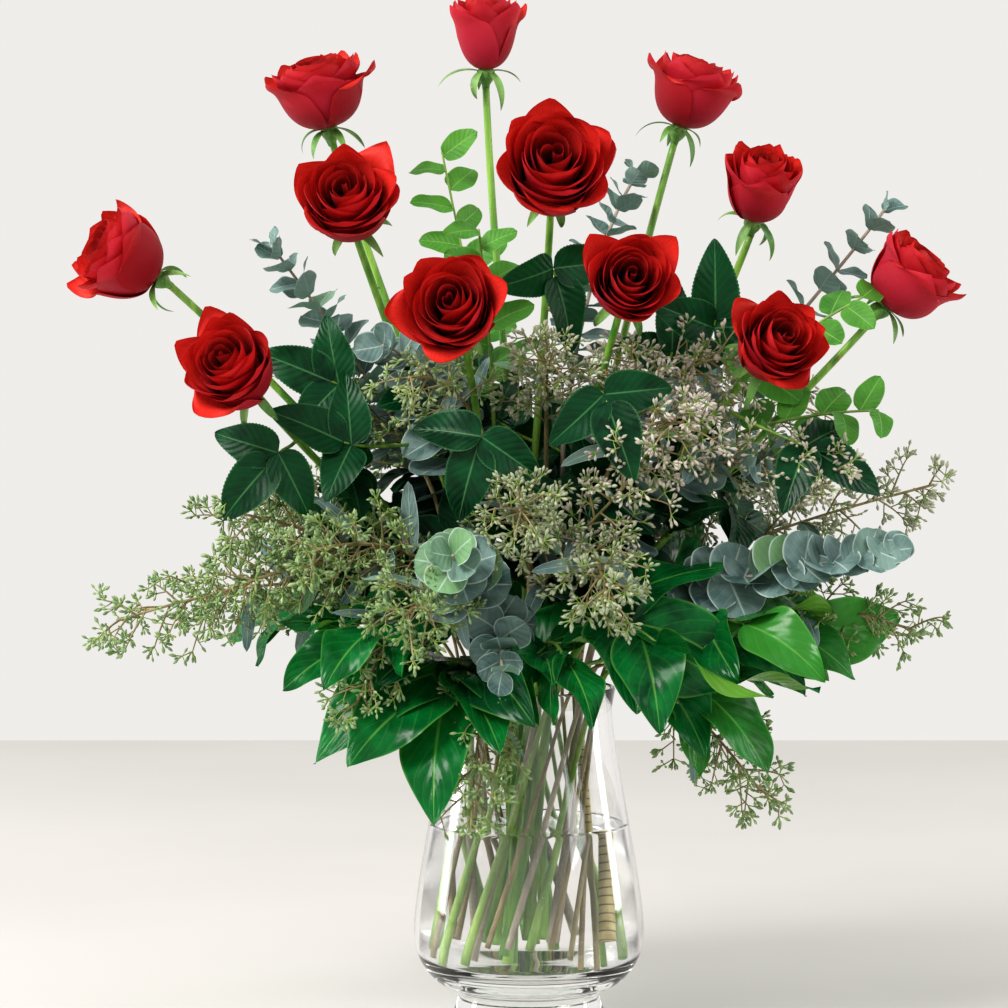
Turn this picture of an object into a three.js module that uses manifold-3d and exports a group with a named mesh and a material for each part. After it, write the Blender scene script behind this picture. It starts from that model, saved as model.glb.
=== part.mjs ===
// A dozen red roses with seeded eucalyptus, spiral eucalyptus and lemon leaf in a clear footed vase of water.
// Millimetres, +Z up, +X to the right and +Y to the back. The origin is the centre of the vase's flat foot.
import * as THREE from "three";
import { mergeVertices } from "three/addons/utils/BufferGeometryUtils.js";
import Module from "manifold-3d";

const wasm = await Module();
wasm.setup();

// ---------------------------------------------------------------- driving dimensions

const vase = {
  height: 204, // foot to lip
  footRadius: 46.5,
  footHeight: 21, // foot to the start of the bowl
  stalkRadius: 42, // the narrow ring between foot and bowl
  bowlRadius: 70, // widest, outside
  bowlHeight: 54, // of the widest ring
  neckRadius: 50, // narrowest, outside
  neckDrop: 12, // from the lip down to the narrowest ring
  lipFlare: 2, // how far the lip stands out from the neck
  wall: 3,
  floorHeight: 33, // top of the thick glass base
  lipRound: 1.5,
  footBevel: 2,
  footEdge: 3, // height of the foot's upright edge
  segments: 26,
};
const water = { level: 122, gap: 0.3, boreClearance: 0.5, segments: 26 };
const neckHeight = vase.height - vase.neckDrop;
const lipRadius = vase.neckRadius + vase.lipFlare;
const bundle = {
  bore: 47, // radius that the slots are laid out in; they close up or spread with the real neck
  footGap: 6, // from the vase's floor to a cut stem end
  footInset: 18, // from the widest ring of the bowl in to the outermost cut ends
  footTwist: -65, // degrees that the spiral turns from the neck down to the cut ends
};
const rose = {
  stemRadius: 2.7,
  stemRise: 60, // how far a stem keeps its slant above the neck
  hipRadius: 6,
  hipLength: 11,
  hipOverlap: 2, // the stem's end runs this far into the hip
  sepals: 5,
  sepalLength: 24,
  sepalWidth: 6,
  sepalDroop: 0.35,
  sepalDrop: 2.5, // from the top of the hip to where the sepals leave it
  petalGap: 0.4, // between the hip and the petals
  petalLobes: 5,
  lobeDepth: 0.05, // how far a lobe stands out at the mouth, as a share of the bloom's radius
  petioleRadius: 1.1,
  leafletLength: 46,
  leafletWidth: 31,
  leafletAngle: 88, // degrees from the end leaflet to each side leaflet
  leafletDroop: 0.12,
};
const seeded = {
  stemRadius: 1.7,
  clusters: 5,
  clusterRadius: 13,
  clusterReach: 9, // from the stem to the middle of a cluster
  clusterTurn: 137.5, // degrees round the stem to the next cluster
  tipShrink: 0.4, // share lost from the first cluster to the last
};
const spiral = {
  stemRadius: 2.2,
  pairs: 5,
  leafLength: 30,
  leafWidth: 30,
  leafDroop: 0.06,
  leafSplay: 72, // degrees from the stem to a leaf
  pairTurn: 70, // degrees round the stem to the next pair
  tipShrink: 0.5,
};
const lemon = { stemRadius: 2.4, leaves: 5, leafLength: 70, leafWidth: 46, leafDroop: 0.15 };
const sprig = { stemRadius: 1.6, leaves: 6, leafLength: 32, leafWidth: 20, leafDroop: 0.1 };
const alternate = {
  firstTurn: 10, // degrees round the stem, and its opposite for the next leaf
  splay: 52, // degrees from the stem to a leaf
  endSplay: 8, // and to the leaf at the tip
};
const leafThickness = 1;
const clearance = 0.4; // kept between neighbouring pieces
const stemSides = 5;
const stemSteps = 8;
const neckShare = 1 / stemSteps; // a stem's first step is the straight part, up to the neck
const petioleSides = 5;
const endRun = 0.35; // share of a stem's free reach that already points as its tip does

// Where a leaf turns its face, between straight up and the front of the vase.
const light = new THREE.Vector3(0, -0.6, 0.8);

// ---------------------------------------------------------------- the florist's plan
// Places are measured from the middle of the vase's neck, so that the flowers rise with it.
// slot: where a stem passes the neck, as a radius out of bundle.bore and an angle in degrees from +X to +Y.

const roses = [
  { mouth: [-26, 36, 426], faces: [0, -0.1, 1], spread: 48, depth: 46, slot: [7, 62] },
  { mouth: [-130, 20, 385], faces: [-0.22, -0.2, 0.95], spread: 64, depth: 42, slot: [14, 107] },
  { mouth: [104, 40, 385], faces: [0.3, -0.1, 0.95], spread: 56, depth: 41, slot: [14, -34] },
  { mouth: [140, -30, 327], faces: [0.15, -0.45, 0.88], spread: 52, depth: 43, slot: [14, -68] },
  { mouth: [-108, -80, 308], faces: [-0.1, -0.85, 0.52], spread: 62, depth: 42, slot: [14, 143] },
  { mouth: [14, -90, 326], faces: [0.02, -0.9, 0.42], spread: 76, depth: 48, slot: [7, 225] },
  { mouth: [-254, -50, 275], faces: [-0.8, -0.35, 0.48], spread: 60, depth: 42, slot: [23, 125] },
  { mouth: [-46, -120, 243], faces: [-0.12, -0.93, 0.35], spread: 66, depth: 42, slot: [14, 183] },
  { mouth: [58, -120, 257], faces: [0.08, -0.95, 0.3], spread: 60, depth: 42, slot: [14, 245] },
  { mouth: [238, -20, 267], faces: [0.65, -0.2, 0.73], spread: 60, depth: 40, slot: [23, -58] },
  { mouth: [-176, -110, 210], faces: [-0.3, -0.85, 0.43], spread: 62, depth: 44, slot: [23, 152] },
  { mouth: [146, -110, 222], faces: [0.3, -0.88, 0.37], spread: 60, depth: 42, slot: [23, -88] },
];

// Compound leaves of the roses: on is the share of the free stem below it, hub is where its leaflets meet.
const roseLeaves = [
  { rose: 2, on: 0.5, hub: [-113, -20, 194], leads: [-0.9, -0.1, 0.35], shows: [-0.2, -0.9, 0.4] },
  { rose: 3, on: 0.55, hub: [85, 0, 208], leads: [0.1, 0, 1], shows: [0.4, -0.8, 0.3] },
  { rose: 4, on: 0.7, hub: [108, -46, 228], leads: [0.2, -0.2, 0.95], shows: [0.1, -0.95, 0.2] },
  { rose: 5, on: 0.55, hub: [-104, -62, 160], leads: [-0.85, -0.2, 0.3], shows: [-0.1, -0.9, 0.4] },
  { rose: 6, on: 0.84, hub: [14, -50, 263], leads: [0.2, -0.1, -0.97], shows: [0.5, -0.85, 0] },
  { rose: 8, on: 0.72, hub: [-28, -112, 167], leads: [-0.35, -0.1, -0.93], shows: [0, -0.97, 0.25] },
  { rose: 9, on: 0.72, hub: [42, -108, 191], leads: [0.35, -0.2, -0.9], shows: [0.1, -0.97, 0.2] },
  { rose: 11, on: 0.76, hub: [-146, -76, 156], leads: [-0.6, -0.1, -0.75], shows: [0, -1, 0.2] },
  { rose: 12, on: 0.75, hub: [160, -76, 160], leads: [0.8, -0.1, -0.5], shows: [0.1, -0.8, 0.6] },
];

// Greens: tip is the stem's end and heads its direction there, rise is how far it keeps its slant above the
// neck, and from is the share of its free part where the foliage starts.
const greens = [
  { kind: "seeded", tip: [-245, -30, 54], heads: [-0.95, 0, -0.3], slot: [40, 150], from: 0.42, rise: 110 },
  { kind: "seeded", tip: [-170, -60, 120], heads: [-0.9, -0.1, 0.2], slot: [31, 165], from: 0.4, rise: 80 },
  { kind: "seeded", tip: [-100, -112, 13], heads: [-0.4, -0.3, -0.85], slot: [40, 194], from: 0.4, rise: 130 },
  { kind: "seeded", tip: [-33, -108, -46], heads: [0, -0.2, -0.98], slot: [40, 234], from: 0.45, rise: 80 },
  { kind: "seeded", tip: [168, 30, 184], heads: [0.8, 0, 0.5], slot: [31, 24], from: 0.3, rise: 120 },
  { kind: "seeded", tip: [242, -10, 134], heads: [0.95, 0, 0.25], slot: [40, 3], from: 0.4, rise: 90 },
  { kind: "seeded", tip: [228, -34, 49], heads: [0.95, 0, -0.3], slot: [40, -13], from: 0.5, rise: 80 },
  { kind: "seeded", tip: [136, -66, -44], heads: [0.6, -0.1, -0.8], slot: [40, -61], from: 0.45, rise: 80 },
  { kind: "seeded", tip: [62, -104, 148], heads: [0.4, -0.6, 0.6], slot: [31, 241], from: 0.3, rise: 100 },
  { kind: "seeded", tip: [-150, 92, 108], heads: [-0.8, 0.5, 0.2], slot: [31, 141], from: 0.4, rise: 90 },
  { kind: "seeded", tip: [130, 106, 138], heads: [0.7, 0.6, 0.4], slot: [31, 48], from: 0.4, rise: 100 },
  { kind: "spiral", tip: [213, -74, 99], heads: [0.97, 0, 0.2], slot: [40, -45], from: 0.42, rise: 90 },
  { kind: "spiral", tip: [-155, 10, 277], heads: [-0.6, 0, 0.8], slot: [31, 116], from: 0.5, rise: 130 },
  { kind: "spiral", tip: [-44, -138, 101], heads: [-0.1, -0.9, 0.4], slot: [31, 191], from: 0.6, rise: 60 },
  { kind: "spiral", tip: [215, 20, 299], heads: [0.6, 0, 0.8], slot: [31, -8], from: 0.6, rise: 130 },
  { kind: "spiral", tip: [152, -64, 146], heads: [0.8, -0.4, -0.2], slot: [31, 278], from: 0.5, rise: 130 },
  { kind: "sprig", tip: [-53, 62, 334], heads: [-0.2, 0, 0.98], slot: [31, 71], from: 0.6, rise: 150 },
  { kind: "lemon", tip: [185, -42, 44], heads: [0.95, -0.1, -0.3], slot: [40, -29], from: 0.4, rise: 60 },
  { kind: "lemon", tip: [120, -96, 4], heads: [0.7, -0.4, -0.6], slot: [40, -77], from: 0.4, rise: 60 },
  { kind: "lemon", tip: [22, -118, 30], heads: [0.1, -0.8, -0.6], slot: [40, 256], from: 0.4, rise: 60 },
  { kind: "lemon", tip: [-62, -104, -16], heads: [-0.3, -0.3, -0.9], slot: [40, 214], from: 0.4, rise: 70 },
  { kind: "lemon", tip: [-128, -66, 34], heads: [-0.8, -0.4, -0.4], slot: [40, 172], from: 0.4, rise: 60 },
  { kind: "lemon", tip: [-96, 118, 70], heads: [-0.6, 0.7, -0.2], slot: [40, 96], from: 0.35, rise: 80 },
  { kind: "lemon", tip: [104, 112, 70], heads: [0.6, 0.7, -0.2], slot: [40, 40], from: 0.35, rise: 80 },
  { kind: "lemon", tip: [8, 134, 48], heads: [0.1, 0.9, -0.4], slot: [40, 68], from: 0.35, rise: 80 },
];

// ---------------------------------------------------------------- solids and meshes

const vector = (p) => new THREE.Vector3(...p);
const aboveNeck = ([x, y, z]) => new THREE.Vector3(x, y, neckHeight + z);
const degrees = THREE.MathUtils.degToRad;

function solidOf(geometry) {
  const plain = geometry.clone();
  plain.deleteAttribute("normal");
  plain.deleteAttribute("uv");
  const merged = mergeVertices(plain, 1e-3);
  const made = new wasm.Mesh({
    numProp: 3,
    vertProperties: new Float32Array(merged.attributes.position.array),
    triVerts: new Uint32Array(merged.index.array),
  });
  return new wasm.Manifold(made);
}

function meshOf(name, solid, material) {
  const data = solid.getMesh();
  const geometry = new THREE.BufferGeometry();
  geometry.setAttribute("position", new THREE.BufferAttribute(data.vertProperties, 3));
  geometry.setIndex(new THREE.BufferAttribute(data.triVerts, 1));
  geometry.computeVertexNormals();
  const mesh = new THREE.Mesh(geometry, material);
  mesh.name = name;
  return mesh;
}

function joined(solids) {
  return solids.reduce((all, next) => all.add(next));
}

function lathe(points, segments) {
  const turned = new THREE.LatheGeometry(points, segments);
  return solidOf(turned.rotateX(Math.PI / 2));
}

function tube(curve, radius, steps, sides = stemSides) {
  const section = new THREE.Shape(
    Array.from({ length: sides }, (_, k) => {
      const turn = (2 * Math.PI * k) / sides;
      return new THREE.Vector2(radius * Math.cos(turn), radius * Math.sin(turn));
    }),
  );
  const geometry = new THREE.ExtrudeGeometry(section, { extrudePath: curve, steps, curveSegments: 1 });
  return solidOf(geometry);
}

// Puts a shape made along +X, with its face towards +Z, at a base point.
function placing(base, along, face) {
  const x = along.clone().normalize();
  const y = face.clone().cross(x).normalize();
  const z = x.clone().cross(y);
  return new THREE.Matrix4().makeBasis(x, y, z).setPosition(base);
}

// ---------------------------------------------------------------- stems

// A stem: straight from its cut end up to the neck, then one free curve to its tip.
class Stem extends THREE.Curve {
  constructor(slot, tip, heads, rise, run) {
    super();
    const radius = (slot[0] * (vase.neckRadius - vase.wall)) / bundle.bore;
    const turn = degrees(slot[1]);
    const spread = ((vase.bowlRadius - bundle.footInset) * slot[0]) / bundle.bore;
    const foot = turn + degrees(bundle.footTwist);
    const neck = aboveNeck([radius * Math.cos(turn), radius * Math.sin(turn), 0]);
    this.cut = new THREE.Vector3(
      spread * Math.cos(foot),
      spread * Math.sin(foot),
      vase.floorHeight + bundle.footGap,
    );
    const up = neck.clone().sub(this.cut).normalize();
    const back = heads.clone().normalize().multiplyScalar(-run);
    this.free = new THREE.CubicBezierCurve3(
      neck,
      neck.clone().addScaledVector(up, rise),
      tip.clone().add(back),
      tip,
    );
    this.knots = this.getSpacedPoints(stemSteps);
  }

  getPoint(t, target = new THREE.Vector3()) {
    if (t < neckShare) {
      return target.lerpVectors(this.cut, this.free.v0, t / neckShare);
    }
    return this.free.getPointAt(Math.min(1, (t - neckShare) / (1 - neckShare)), target);
  }

  // Keeps the knots where getPoint puts them, so that one of them is always at the neck.
  getUtoTmapping(u) {
    return u;
  }
}

// A place on the tube made along a stem, at a share of the part above the neck, and its direction there.
function stemAt(stem, share) {
  const place = (neckShare + (1 - neckShare) * share) * stemSteps;
  const below = Math.min(Math.floor(place), stemSteps - 1);
  const [low, high] = [stem.knots[below], stem.knots[below + 1]];
  const at = low.clone().lerp(high, Math.min(place - below, 0.98));
  return { at, along: high.clone().sub(low).normalize() };
}

function stemTo(slot, tip, heads, rise) {
  const reach = Math.hypot(tip.x, tip.y, tip.z - neckHeight);
  return new Stem(slot, tip, heads, rise, endRun * reach);
}

// ---------------------------------------------------------------- vase and water

function vaseCurves() {
  const { stalkRadius, footHeight, bowlRadius, bowlHeight, neckRadius } = vase;
  const point = (r, z) => new THREE.Vector2(r, z);
  const bowl = new THREE.CubicBezierCurve(
    point(stalkRadius, footHeight),
    point((stalkRadius + bowlRadius) / 2, footHeight),
    point(bowlRadius, (footHeight + bowlHeight) / 2),
    point(bowlRadius, bowlHeight),
  );
  const rise = neckHeight - bowlHeight;
  const side = new THREE.CubicBezierCurve(
    point(bowlRadius, bowlHeight),
    point(bowlRadius, bowlHeight + rise * 0.24),
    point(neckRadius, neckHeight - rise * 0.2),
    point(neckRadius, neckHeight),
  );
  const inner = new THREE.CubicBezierCurve(
    point(0, vase.floorHeight),
    point(bowlRadius * 0.85, vase.floorHeight),
    point(bowlRadius - vase.wall, vase.floorHeight),
    point(bowlRadius - vase.wall, bowlHeight),
  );
  return { bowl, side, inner };
}

function innerProfile() {
  const { side, inner } = vaseCurves();
  const wall = side.getPoints(6).slice(1);
  return [...inner.getPoints(5), ...wall.map((p) => new THREE.Vector2(p.x - vase.wall, p.y))];
}

function vaseSolid() {
  const { bowl, side } = vaseCurves();
  const { footRadius, footHeight, footEdge, footBevel, stalkRadius } = vase;
  const { height, lipRound, wall } = vase;
  const point = (r, z) => new THREE.Vector2(r, z);
  const foot = new THREE.CubicBezierCurve(
    point(footRadius, footEdge),
    point(footRadius, footHeight * 0.4),
    point(stalkRadius, footHeight * 0.6),
    point(stalkRadius, footHeight),
  );
  const outline = [
    point(0, 0),
    point(footRadius - footBevel, 0),
    ...foot.getPoints(3),
    ...bowl.getPoints(4).slice(1),
    ...side.getPoints(6).slice(1),
    point(lipRadius, height - lipRound),
    point(lipRadius - wall / 2, height),
    point(lipRadius - wall, height - lipRound),
    ...innerProfile().reverse(),
  ];
  return lathe(outline, vase.segments);
}

// The water's outline follows the glass inside, up to its level, with a small gap.
function waterSolid(stems) {
  const inside = innerProfile().map((p) => new THREE.Vector2(Math.max(0, p.x - water.gap), p.y + water.gap));
  const above = inside.findIndex((p) => p.y > water.level);
  const [low, high] = [inside[above - 1], inside[above]];
  const rim = low.clone().lerp(high, (water.level - low.y) / (high.y - low.y));
  const outline = [...inside.slice(0, above), rim, new THREE.Vector2(0, water.level)];
  const body = lathe(outline, water.segments);
  return stems.reduce((left, { stem, radius }) => {
    const toNeck = new THREE.LineCurve3(stem.cut, stem.free.v0);
    const under = toNeck.getPoint(-water.boreClearance / toNeck.getLength());
    const bore = new THREE.LineCurve3(under, stem.free.v0);
    return left.subtract(tube(bore, radius + water.boreClearance, 1));
  }, body);
}

// ---------------------------------------------------------------- leaves

function leafShape(length, width) {
  const shape = new THREE.Shape();
  shape.moveTo(0, 0);
  shape.bezierCurveTo(length * 0.12, width * 0.66, length * 0.62, width * 0.66, length, 0);
  shape.bezierCurveTo(length * 0.62, -width * 0.66, length * 0.12, -width * 0.66, 0, 0);
  return shape;
}

// A flat leaf blade along +X, arched down towards its tip.
function blade(length, width, droop, grow = 0, curveSegments = 3) {
  const thickness = leafThickness + 2 * grow;
  const geometry = new THREE.ExtrudeGeometry(leafShape(length + grow, width + 2 * grow), {
    depth: thickness,
    bevelEnabled: false,
    curveSegments,
  });
  geometry.translate(0, 0, -thickness / 2);
  const at = geometry.attributes.position;
  for (let i = 0; i < at.count; i += 1) {
    const share = at.getX(i) / length;
    at.setZ(i, at.getZ(i) - droop * length * share * share);
  }
  return geometry;
}

// ---------------------------------------------------------------- room between pieces

// Every solid placed so far, by the name of its piece.
const placed = [];

function reserve(name, solid) {
  placed.push({ name, solid, box: solid.boundingBox() });
}

function boxesMeet(a, b) {
  return [0, 1, 2].every((k) => a.min[k] <= b.max[k] && b.min[k] <= a.max[k]);
}

function isClear(solid, owner) {
  const box = solid.boundingBox();
  return placed
    .filter((other) => other.name !== owner && boxesMeet(box, other.box))
    .every((other) => other.solid.intersect(solid).isEmpty());
}

// Foliage grows where there is room: each try is turned further round its stem, and a crowded one stays small.
const turns = [0, 20, -20, 40, -40, 65, -65, 90, -90, 120, -120, 150, -150, 180];
const sizes = [1, 0.8, 0.6, 0.45, 0.3, 0.2];

function grown(owner, make) {
  for (const size of sizes) {
    for (const turn of turns) {
      const grownFat = make(degrees(turn), size, clearance);
      if (isClear(grownFat, owner)) {
        const solid = make(degrees(turn), size, 0);
        reserve(owner, solid);
        return solid;
      }
    }
  }
  throw new Error(`${owner} has no room for its foliage`);
}

// ---------------------------------------------------------------- roses

const petals = new THREE.MeshStandardMaterial({ color: 0xb01015, roughness: 0.6 });
const roseGreen = new THREE.MeshStandardMaterial({ color: 0x4f8a35, roughness: 0.5 });
const roseLeafGreen = new THREE.MeshStandardMaterial({ color: 0x1f5a33, roughness: 0.45 });

function bloomFrame(plan) {
  const faces = vector(plan.faces).normalize();
  const base = aboveNeck(plan.mouth).addScaledVector(faces, -plan.depth);
  return { faces, base };
}

// A ring of five broad outer petals round a deep cup, closed by the coil of inner petals.
function bloomSolid(plan) {
  const { faces, base } = bloomFrame(plan);
  const radius = plan.spread / 2;
  const point = (r, h) => new THREE.Vector2(radius * r, plan.depth * h);
  const outline = [
    point(0, 0),
    point(0.3, 0.01),
    point(0.72, 0.25),
    point(0.84, 0.6),
    point(1, 0.88),
    point(0.7, 0.98),
    point(0, 0.93),
  ];
  const segments = 10;
  const turned = new THREE.LatheGeometry(outline, segments).rotateX(Math.PI / 2);
  const at = turned.attributes.position;
  for (let i = 0; i < at.count; i += 1) {
    const turn = Math.atan2(at.getY(i), at.getX(i));
    const lobe = 1 + rose.lobeDepth * Math.cos(rose.petalLobes * turn) * (at.getZ(i) / plan.depth);
    at.setXY(i, at.getX(i) * lobe, at.getY(i) * lobe);
  }
  const upright = new THREE.Quaternion().setFromUnitVectors(new THREE.Vector3(0, 0, 1), faces);
  turned.applyQuaternion(upright);
  const start = base.clone().addScaledVector(faces, rose.petalGap);
  return solidOf(turned.translate(start.x, start.y, start.z));
}

// The green hip under the petals, with five sepals folded back.
function hipSolid(plan) {
  const { faces, base } = bloomFrame(plan);
  const { hipRadius, hipLength, stemRadius, sepals, sepalLength, sepalWidth, sepalDroop, sepalDrop } = rose;
  const point = (r, h) => new THREE.Vector2(r, h);
  const outline = [
    point(0, -hipLength),
    point(stemRadius, -hipLength),
    point(hipRadius, -hipLength * 0.4),
    point(hipRadius * 0.85, 0),
    point(0, 0),
  ];
  const upright = new THREE.Quaternion().setFromUnitVectors(new THREE.Vector3(0, 0, 1), faces);
  const hip = new THREE.LatheGeometry(outline, 6).rotateX(Math.PI / 2).applyQuaternion(upright);
  const parts = [solidOf(hip.translate(base.x, base.y, base.z))];
  for (let k = 0; k < sepals; k += 1) {
    const turn = (2 * Math.PI * k) / sepals;
    const out = new THREE.Vector3(Math.cos(turn), Math.sin(turn), -sepalDroop).applyQuaternion(upright);
    const sepal = blade(sepalLength, sepalWidth, sepalDroop, 0, 2);
    const root = base.clone().addScaledVector(faces, -sepalDrop).addScaledVector(out, hipRadius / 2);
    parts.push(solidOf(sepal.applyMatrix4(placing(root, out, faces))));
  }
  return joined(parts);
}

function roseStem(plan) {
  const { faces, base } = bloomFrame(plan);
  const tip = base.clone().addScaledVector(faces, rose.hipOverlap - rose.hipLength);
  const leaning = new THREE.Vector3(tip.x, tip.y, tip.z - neckHeight).normalize();
  return stemTo(plan.slot, tip, faces.clone().lerp(leaning, 0.6), rose.stemRise);
}

// A petiole from the stem to a hub, and three leaflets that meet there.
function roseLeafSolid(name, plan, stem) {
  const { at, along: up } = stemAt(stem, plan.on);
  const hub = aboveNeck(plan.hub);
  const away = hub.clone().sub(at);
  away.addScaledVector(up, -away.dot(up)).normalize();
  const start = at.clone().addScaledVector(away, rose.stemRadius + rose.petioleRadius + clearance);
  const leads = vector(plan.leads).normalize();
  const shows = vector(plan.shows).normalize();
  const petiole = tube(new THREE.LineCurve3(start, hub), rose.petioleRadius, 1, petioleSides);
  reserve(name, petiole);
  const leaflet = (side) =>
    grown(name, (turn, size, grow) => {
      const along = leads.clone().applyAxisAngle(shows, side * degrees(rose.leafletAngle) + turn / 3);
      const root = hub.clone().addScaledVector(along, -rose.petioleRadius / 2);
      const [length, width] = [rose.leafletLength * size, rose.leafletWidth * size];
      const leaflet = blade(length, width, rose.leafletDroop, grow);
      return solidOf(leaflet.applyMatrix4(placing(root, along, shows)));
    });
  return joined([petiole, ...[0, 1, -1].map(leaflet)]);
}

// ---------------------------------------------------------------- greens

const foliage = {
  seeded: new THREE.MeshStandardMaterial({ color: 0x8da271, roughness: 0.7 }),
  spiral: new THREE.MeshStandardMaterial({ color: 0x7f9796, roughness: 0.75 }),
  sprig: new THREE.MeshStandardMaterial({ color: 0x6da047, roughness: 0.5 }),
  lemon: new THREE.MeshStandardMaterial({ color: 0x1c7a35, roughness: 0.35 }),
};
const stemRadii = {
  seeded: seeded.stemRadius,
  spiral: spiral.stemRadius,
  sprig: sprig.stemRadius,
  lemon: lemon.stemRadius,
};

// Directions at a share of a stem's free part: along it, and two across it.
function stemAxes(stem, share) {
  const { at, along } = stemAt(stem, share);
  const side = light.clone().cross(along).normalize();
  const top = along.clone().cross(side).normalize();
  return { at, along, side, top };
}

// A leaf that leaves the stem at an angle round it, with its face turned to the light.
function stemLeaf(owner, stem, share, round, splay, [length, width], droop) {
  const { at, along, side, top } = stemAxes(stem, share);
  return grown(owner, (turn, size, grow) => {
    const angle = round + turn;
    const out = side.clone().multiplyScalar(Math.cos(angle)).addScaledVector(top, Math.sin(angle));
    const leads = along.clone().multiplyScalar(Math.cos(splay)).addScaledVector(out, Math.sin(splay));
    const shows = along.clone().multiplyScalar(0.5).add(light);
    shows.addScaledVector(leads, -shows.dot(leads));
    const geometry = blade(length * size, width * size, droop, grow);
    return solidOf(geometry.applyMatrix4(placing(at, leads, shows)));
  });
}

// Clusters of seed capsules, as plain rounded masses on the stem.
function seededFoliage(owner, stem, from) {
  const solids = [];
  for (let k = 0; k < seeded.clusters; k += 1) {
    const share = from + ((1 - from) * (k + 0.5)) / seeded.clusters;
    const { at, side, top } = stemAxes(stem, share);
    const taper = 1 - (seeded.tipShrink * k) / seeded.clusters;
    const cluster = grown(owner, (turn, size, grow) => {
      const angle = k * degrees(seeded.clusterTurn) + turn;
      const out = side.clone().multiplyScalar(Math.cos(angle)).addScaledVector(top, Math.sin(angle));
      const reach = seeded.clusterReach * taper * size;
      const middle = at.clone().addScaledVector(out, reach);
      const ball = new THREE.IcosahedronGeometry(seeded.clusterRadius * taper * size + grow, 0);
      return solidOf(ball.translate(middle.x, middle.y, middle.z));
    });
    solids.push(cluster);
  }
  return solids;
}

// Round leaves in pairs, each pair turned from the last and smaller towards the tip.
function spiralFoliage(owner, stem, from) {
  const solids = [];
  for (let k = 0; k < spiral.pairs; k += 1) {
    const share = from + ((1 - from) * k) / spiral.pairs;
    const taper = 1 - (spiral.tipShrink * k) / spiral.pairs;
    const size = [spiral.leafLength * taper, spiral.leafWidth * taper];
    for (const half of [0, Math.PI]) {
      const round = k * degrees(spiral.pairTurn) + half;
      solids.push(stemLeaf(owner, stem, share, round, degrees(spiral.leafSplay), size, spiral.leafDroop));
    }
  }
  return solids;
}

// Leaves on one side and the other by turns, with the last one at the stem's tip.
function alternateFoliage(owner, stem, from, { leaves, leafLength, leafWidth, leafDroop }) {
  const solids = [];
  for (let k = 0; k < leaves; k += 1) {
    const share = from + ((1 - from) * k) / (leaves - 1);
    const round = degrees(alternate.firstTurn) + (k % 2) * Math.PI;
    const splay = degrees(k === leaves - 1 ? alternate.endSplay : alternate.splay);
    solids.push(stemLeaf(owner, stem, share, round, splay, [leafLength, leafWidth], leafDroop));
  }
  return solids;
}

function greenFoliage(owner, kind, stem, from) {
  if (kind === "seeded") return seededFoliage(owner, stem, from);
  if (kind === "spiral") return spiralFoliage(owner, stem, from);
  return alternateFoliage(owner, stem, from, kind === "sprig" ? sprig : lemon);
}

const greenNames = {
  seeded: "seeded_eucalyptus",
  spiral: "spiral_eucalyptus",
  sprig: "light_sprig",
  lemon: "lemon_leaf",
};

// ---------------------------------------------------------------- the assembly

const bouquet = new THREE.Group();
const two = (n) => String(n).padStart(2, "0");

const glass = new THREE.MeshStandardMaterial({
  color: 0xe8f2ee,
  roughness: 0.05,
  transparent: true,
  opacity: 0.35,
});
const clearWater = new THREE.MeshStandardMaterial({
  color: 0xdce8e4,
  roughness: 0.05,
  transparent: true,
  opacity: 0.3,
});

const glassVase = vaseSolid();
reserve("vase", glassVase);
bouquet.add(meshOf("vase", glassVase, glass));

// Stems first, because everything else finds its room between them.
const roseParts = roses.map((plan, k) => {
  const name = `rose_${two(k + 1)}`;
  const stem = roseStem(plan);
  const solid = joined([tube(stem, rose.stemRadius, stemSteps), hipSolid(plan)]);
  reserve(`${name}_stem`, solid);
  return { name, plan, stem, solid };
});
const seen = {};
const greenParts = greens.map((plan) => {
  seen[plan.kind] = (seen[plan.kind] ?? 0) + 1;
  const name = `${greenNames[plan.kind]}_${two(seen[plan.kind])}`;
  const stem = stemTo(plan.slot, aboveNeck(plan.tip), vector(plan.heads), plan.rise);
  const solid = tube(stem, stemRadii[plan.kind], stemSteps);
  reserve(name, solid);
  return { name, plan, stem, solid };
});

for (const { name, plan } of roseParts) {
  const bloom = bloomSolid(plan);
  reserve(`${name}_bloom`, bloom);
  bouquet.add(meshOf(`${name}_bloom`, bloom, petals));
}
for (const { name, solid } of roseParts) {
  bouquet.add(meshOf(`${name}_stem`, solid, roseGreen));
}
for (const plan of roseLeaves) {
  const { name, stem } = roseParts[plan.rose - 1];
  const leaf = roseLeafSolid(`${name}_leaf`, plan, stem);
  bouquet.add(meshOf(`${name}_leaf`, leaf, roseLeafGreen));
}
for (const { name, plan, stem, solid } of greenParts) {
  const whole = joined([solid, ...greenFoliage(name, plan.kind, stem, plan.from)]);
  bouquet.add(meshOf(name, whole, foliage[plan.kind]));
}

const wet = [
  ...roseParts.map(({ stem }) => ({ stem, radius: rose.stemRadius })),
  ...greenParts.map(({ stem, plan }) => ({ stem, radius: stemRadii[plan.kind] })),
];
bouquet.add(meshOf("water", waterSolid(wet), clearWater));

export default bouquet;
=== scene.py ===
"""Roses in a vase: the looks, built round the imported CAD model. Sizes are in mm unless they say metres."""

import math

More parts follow.
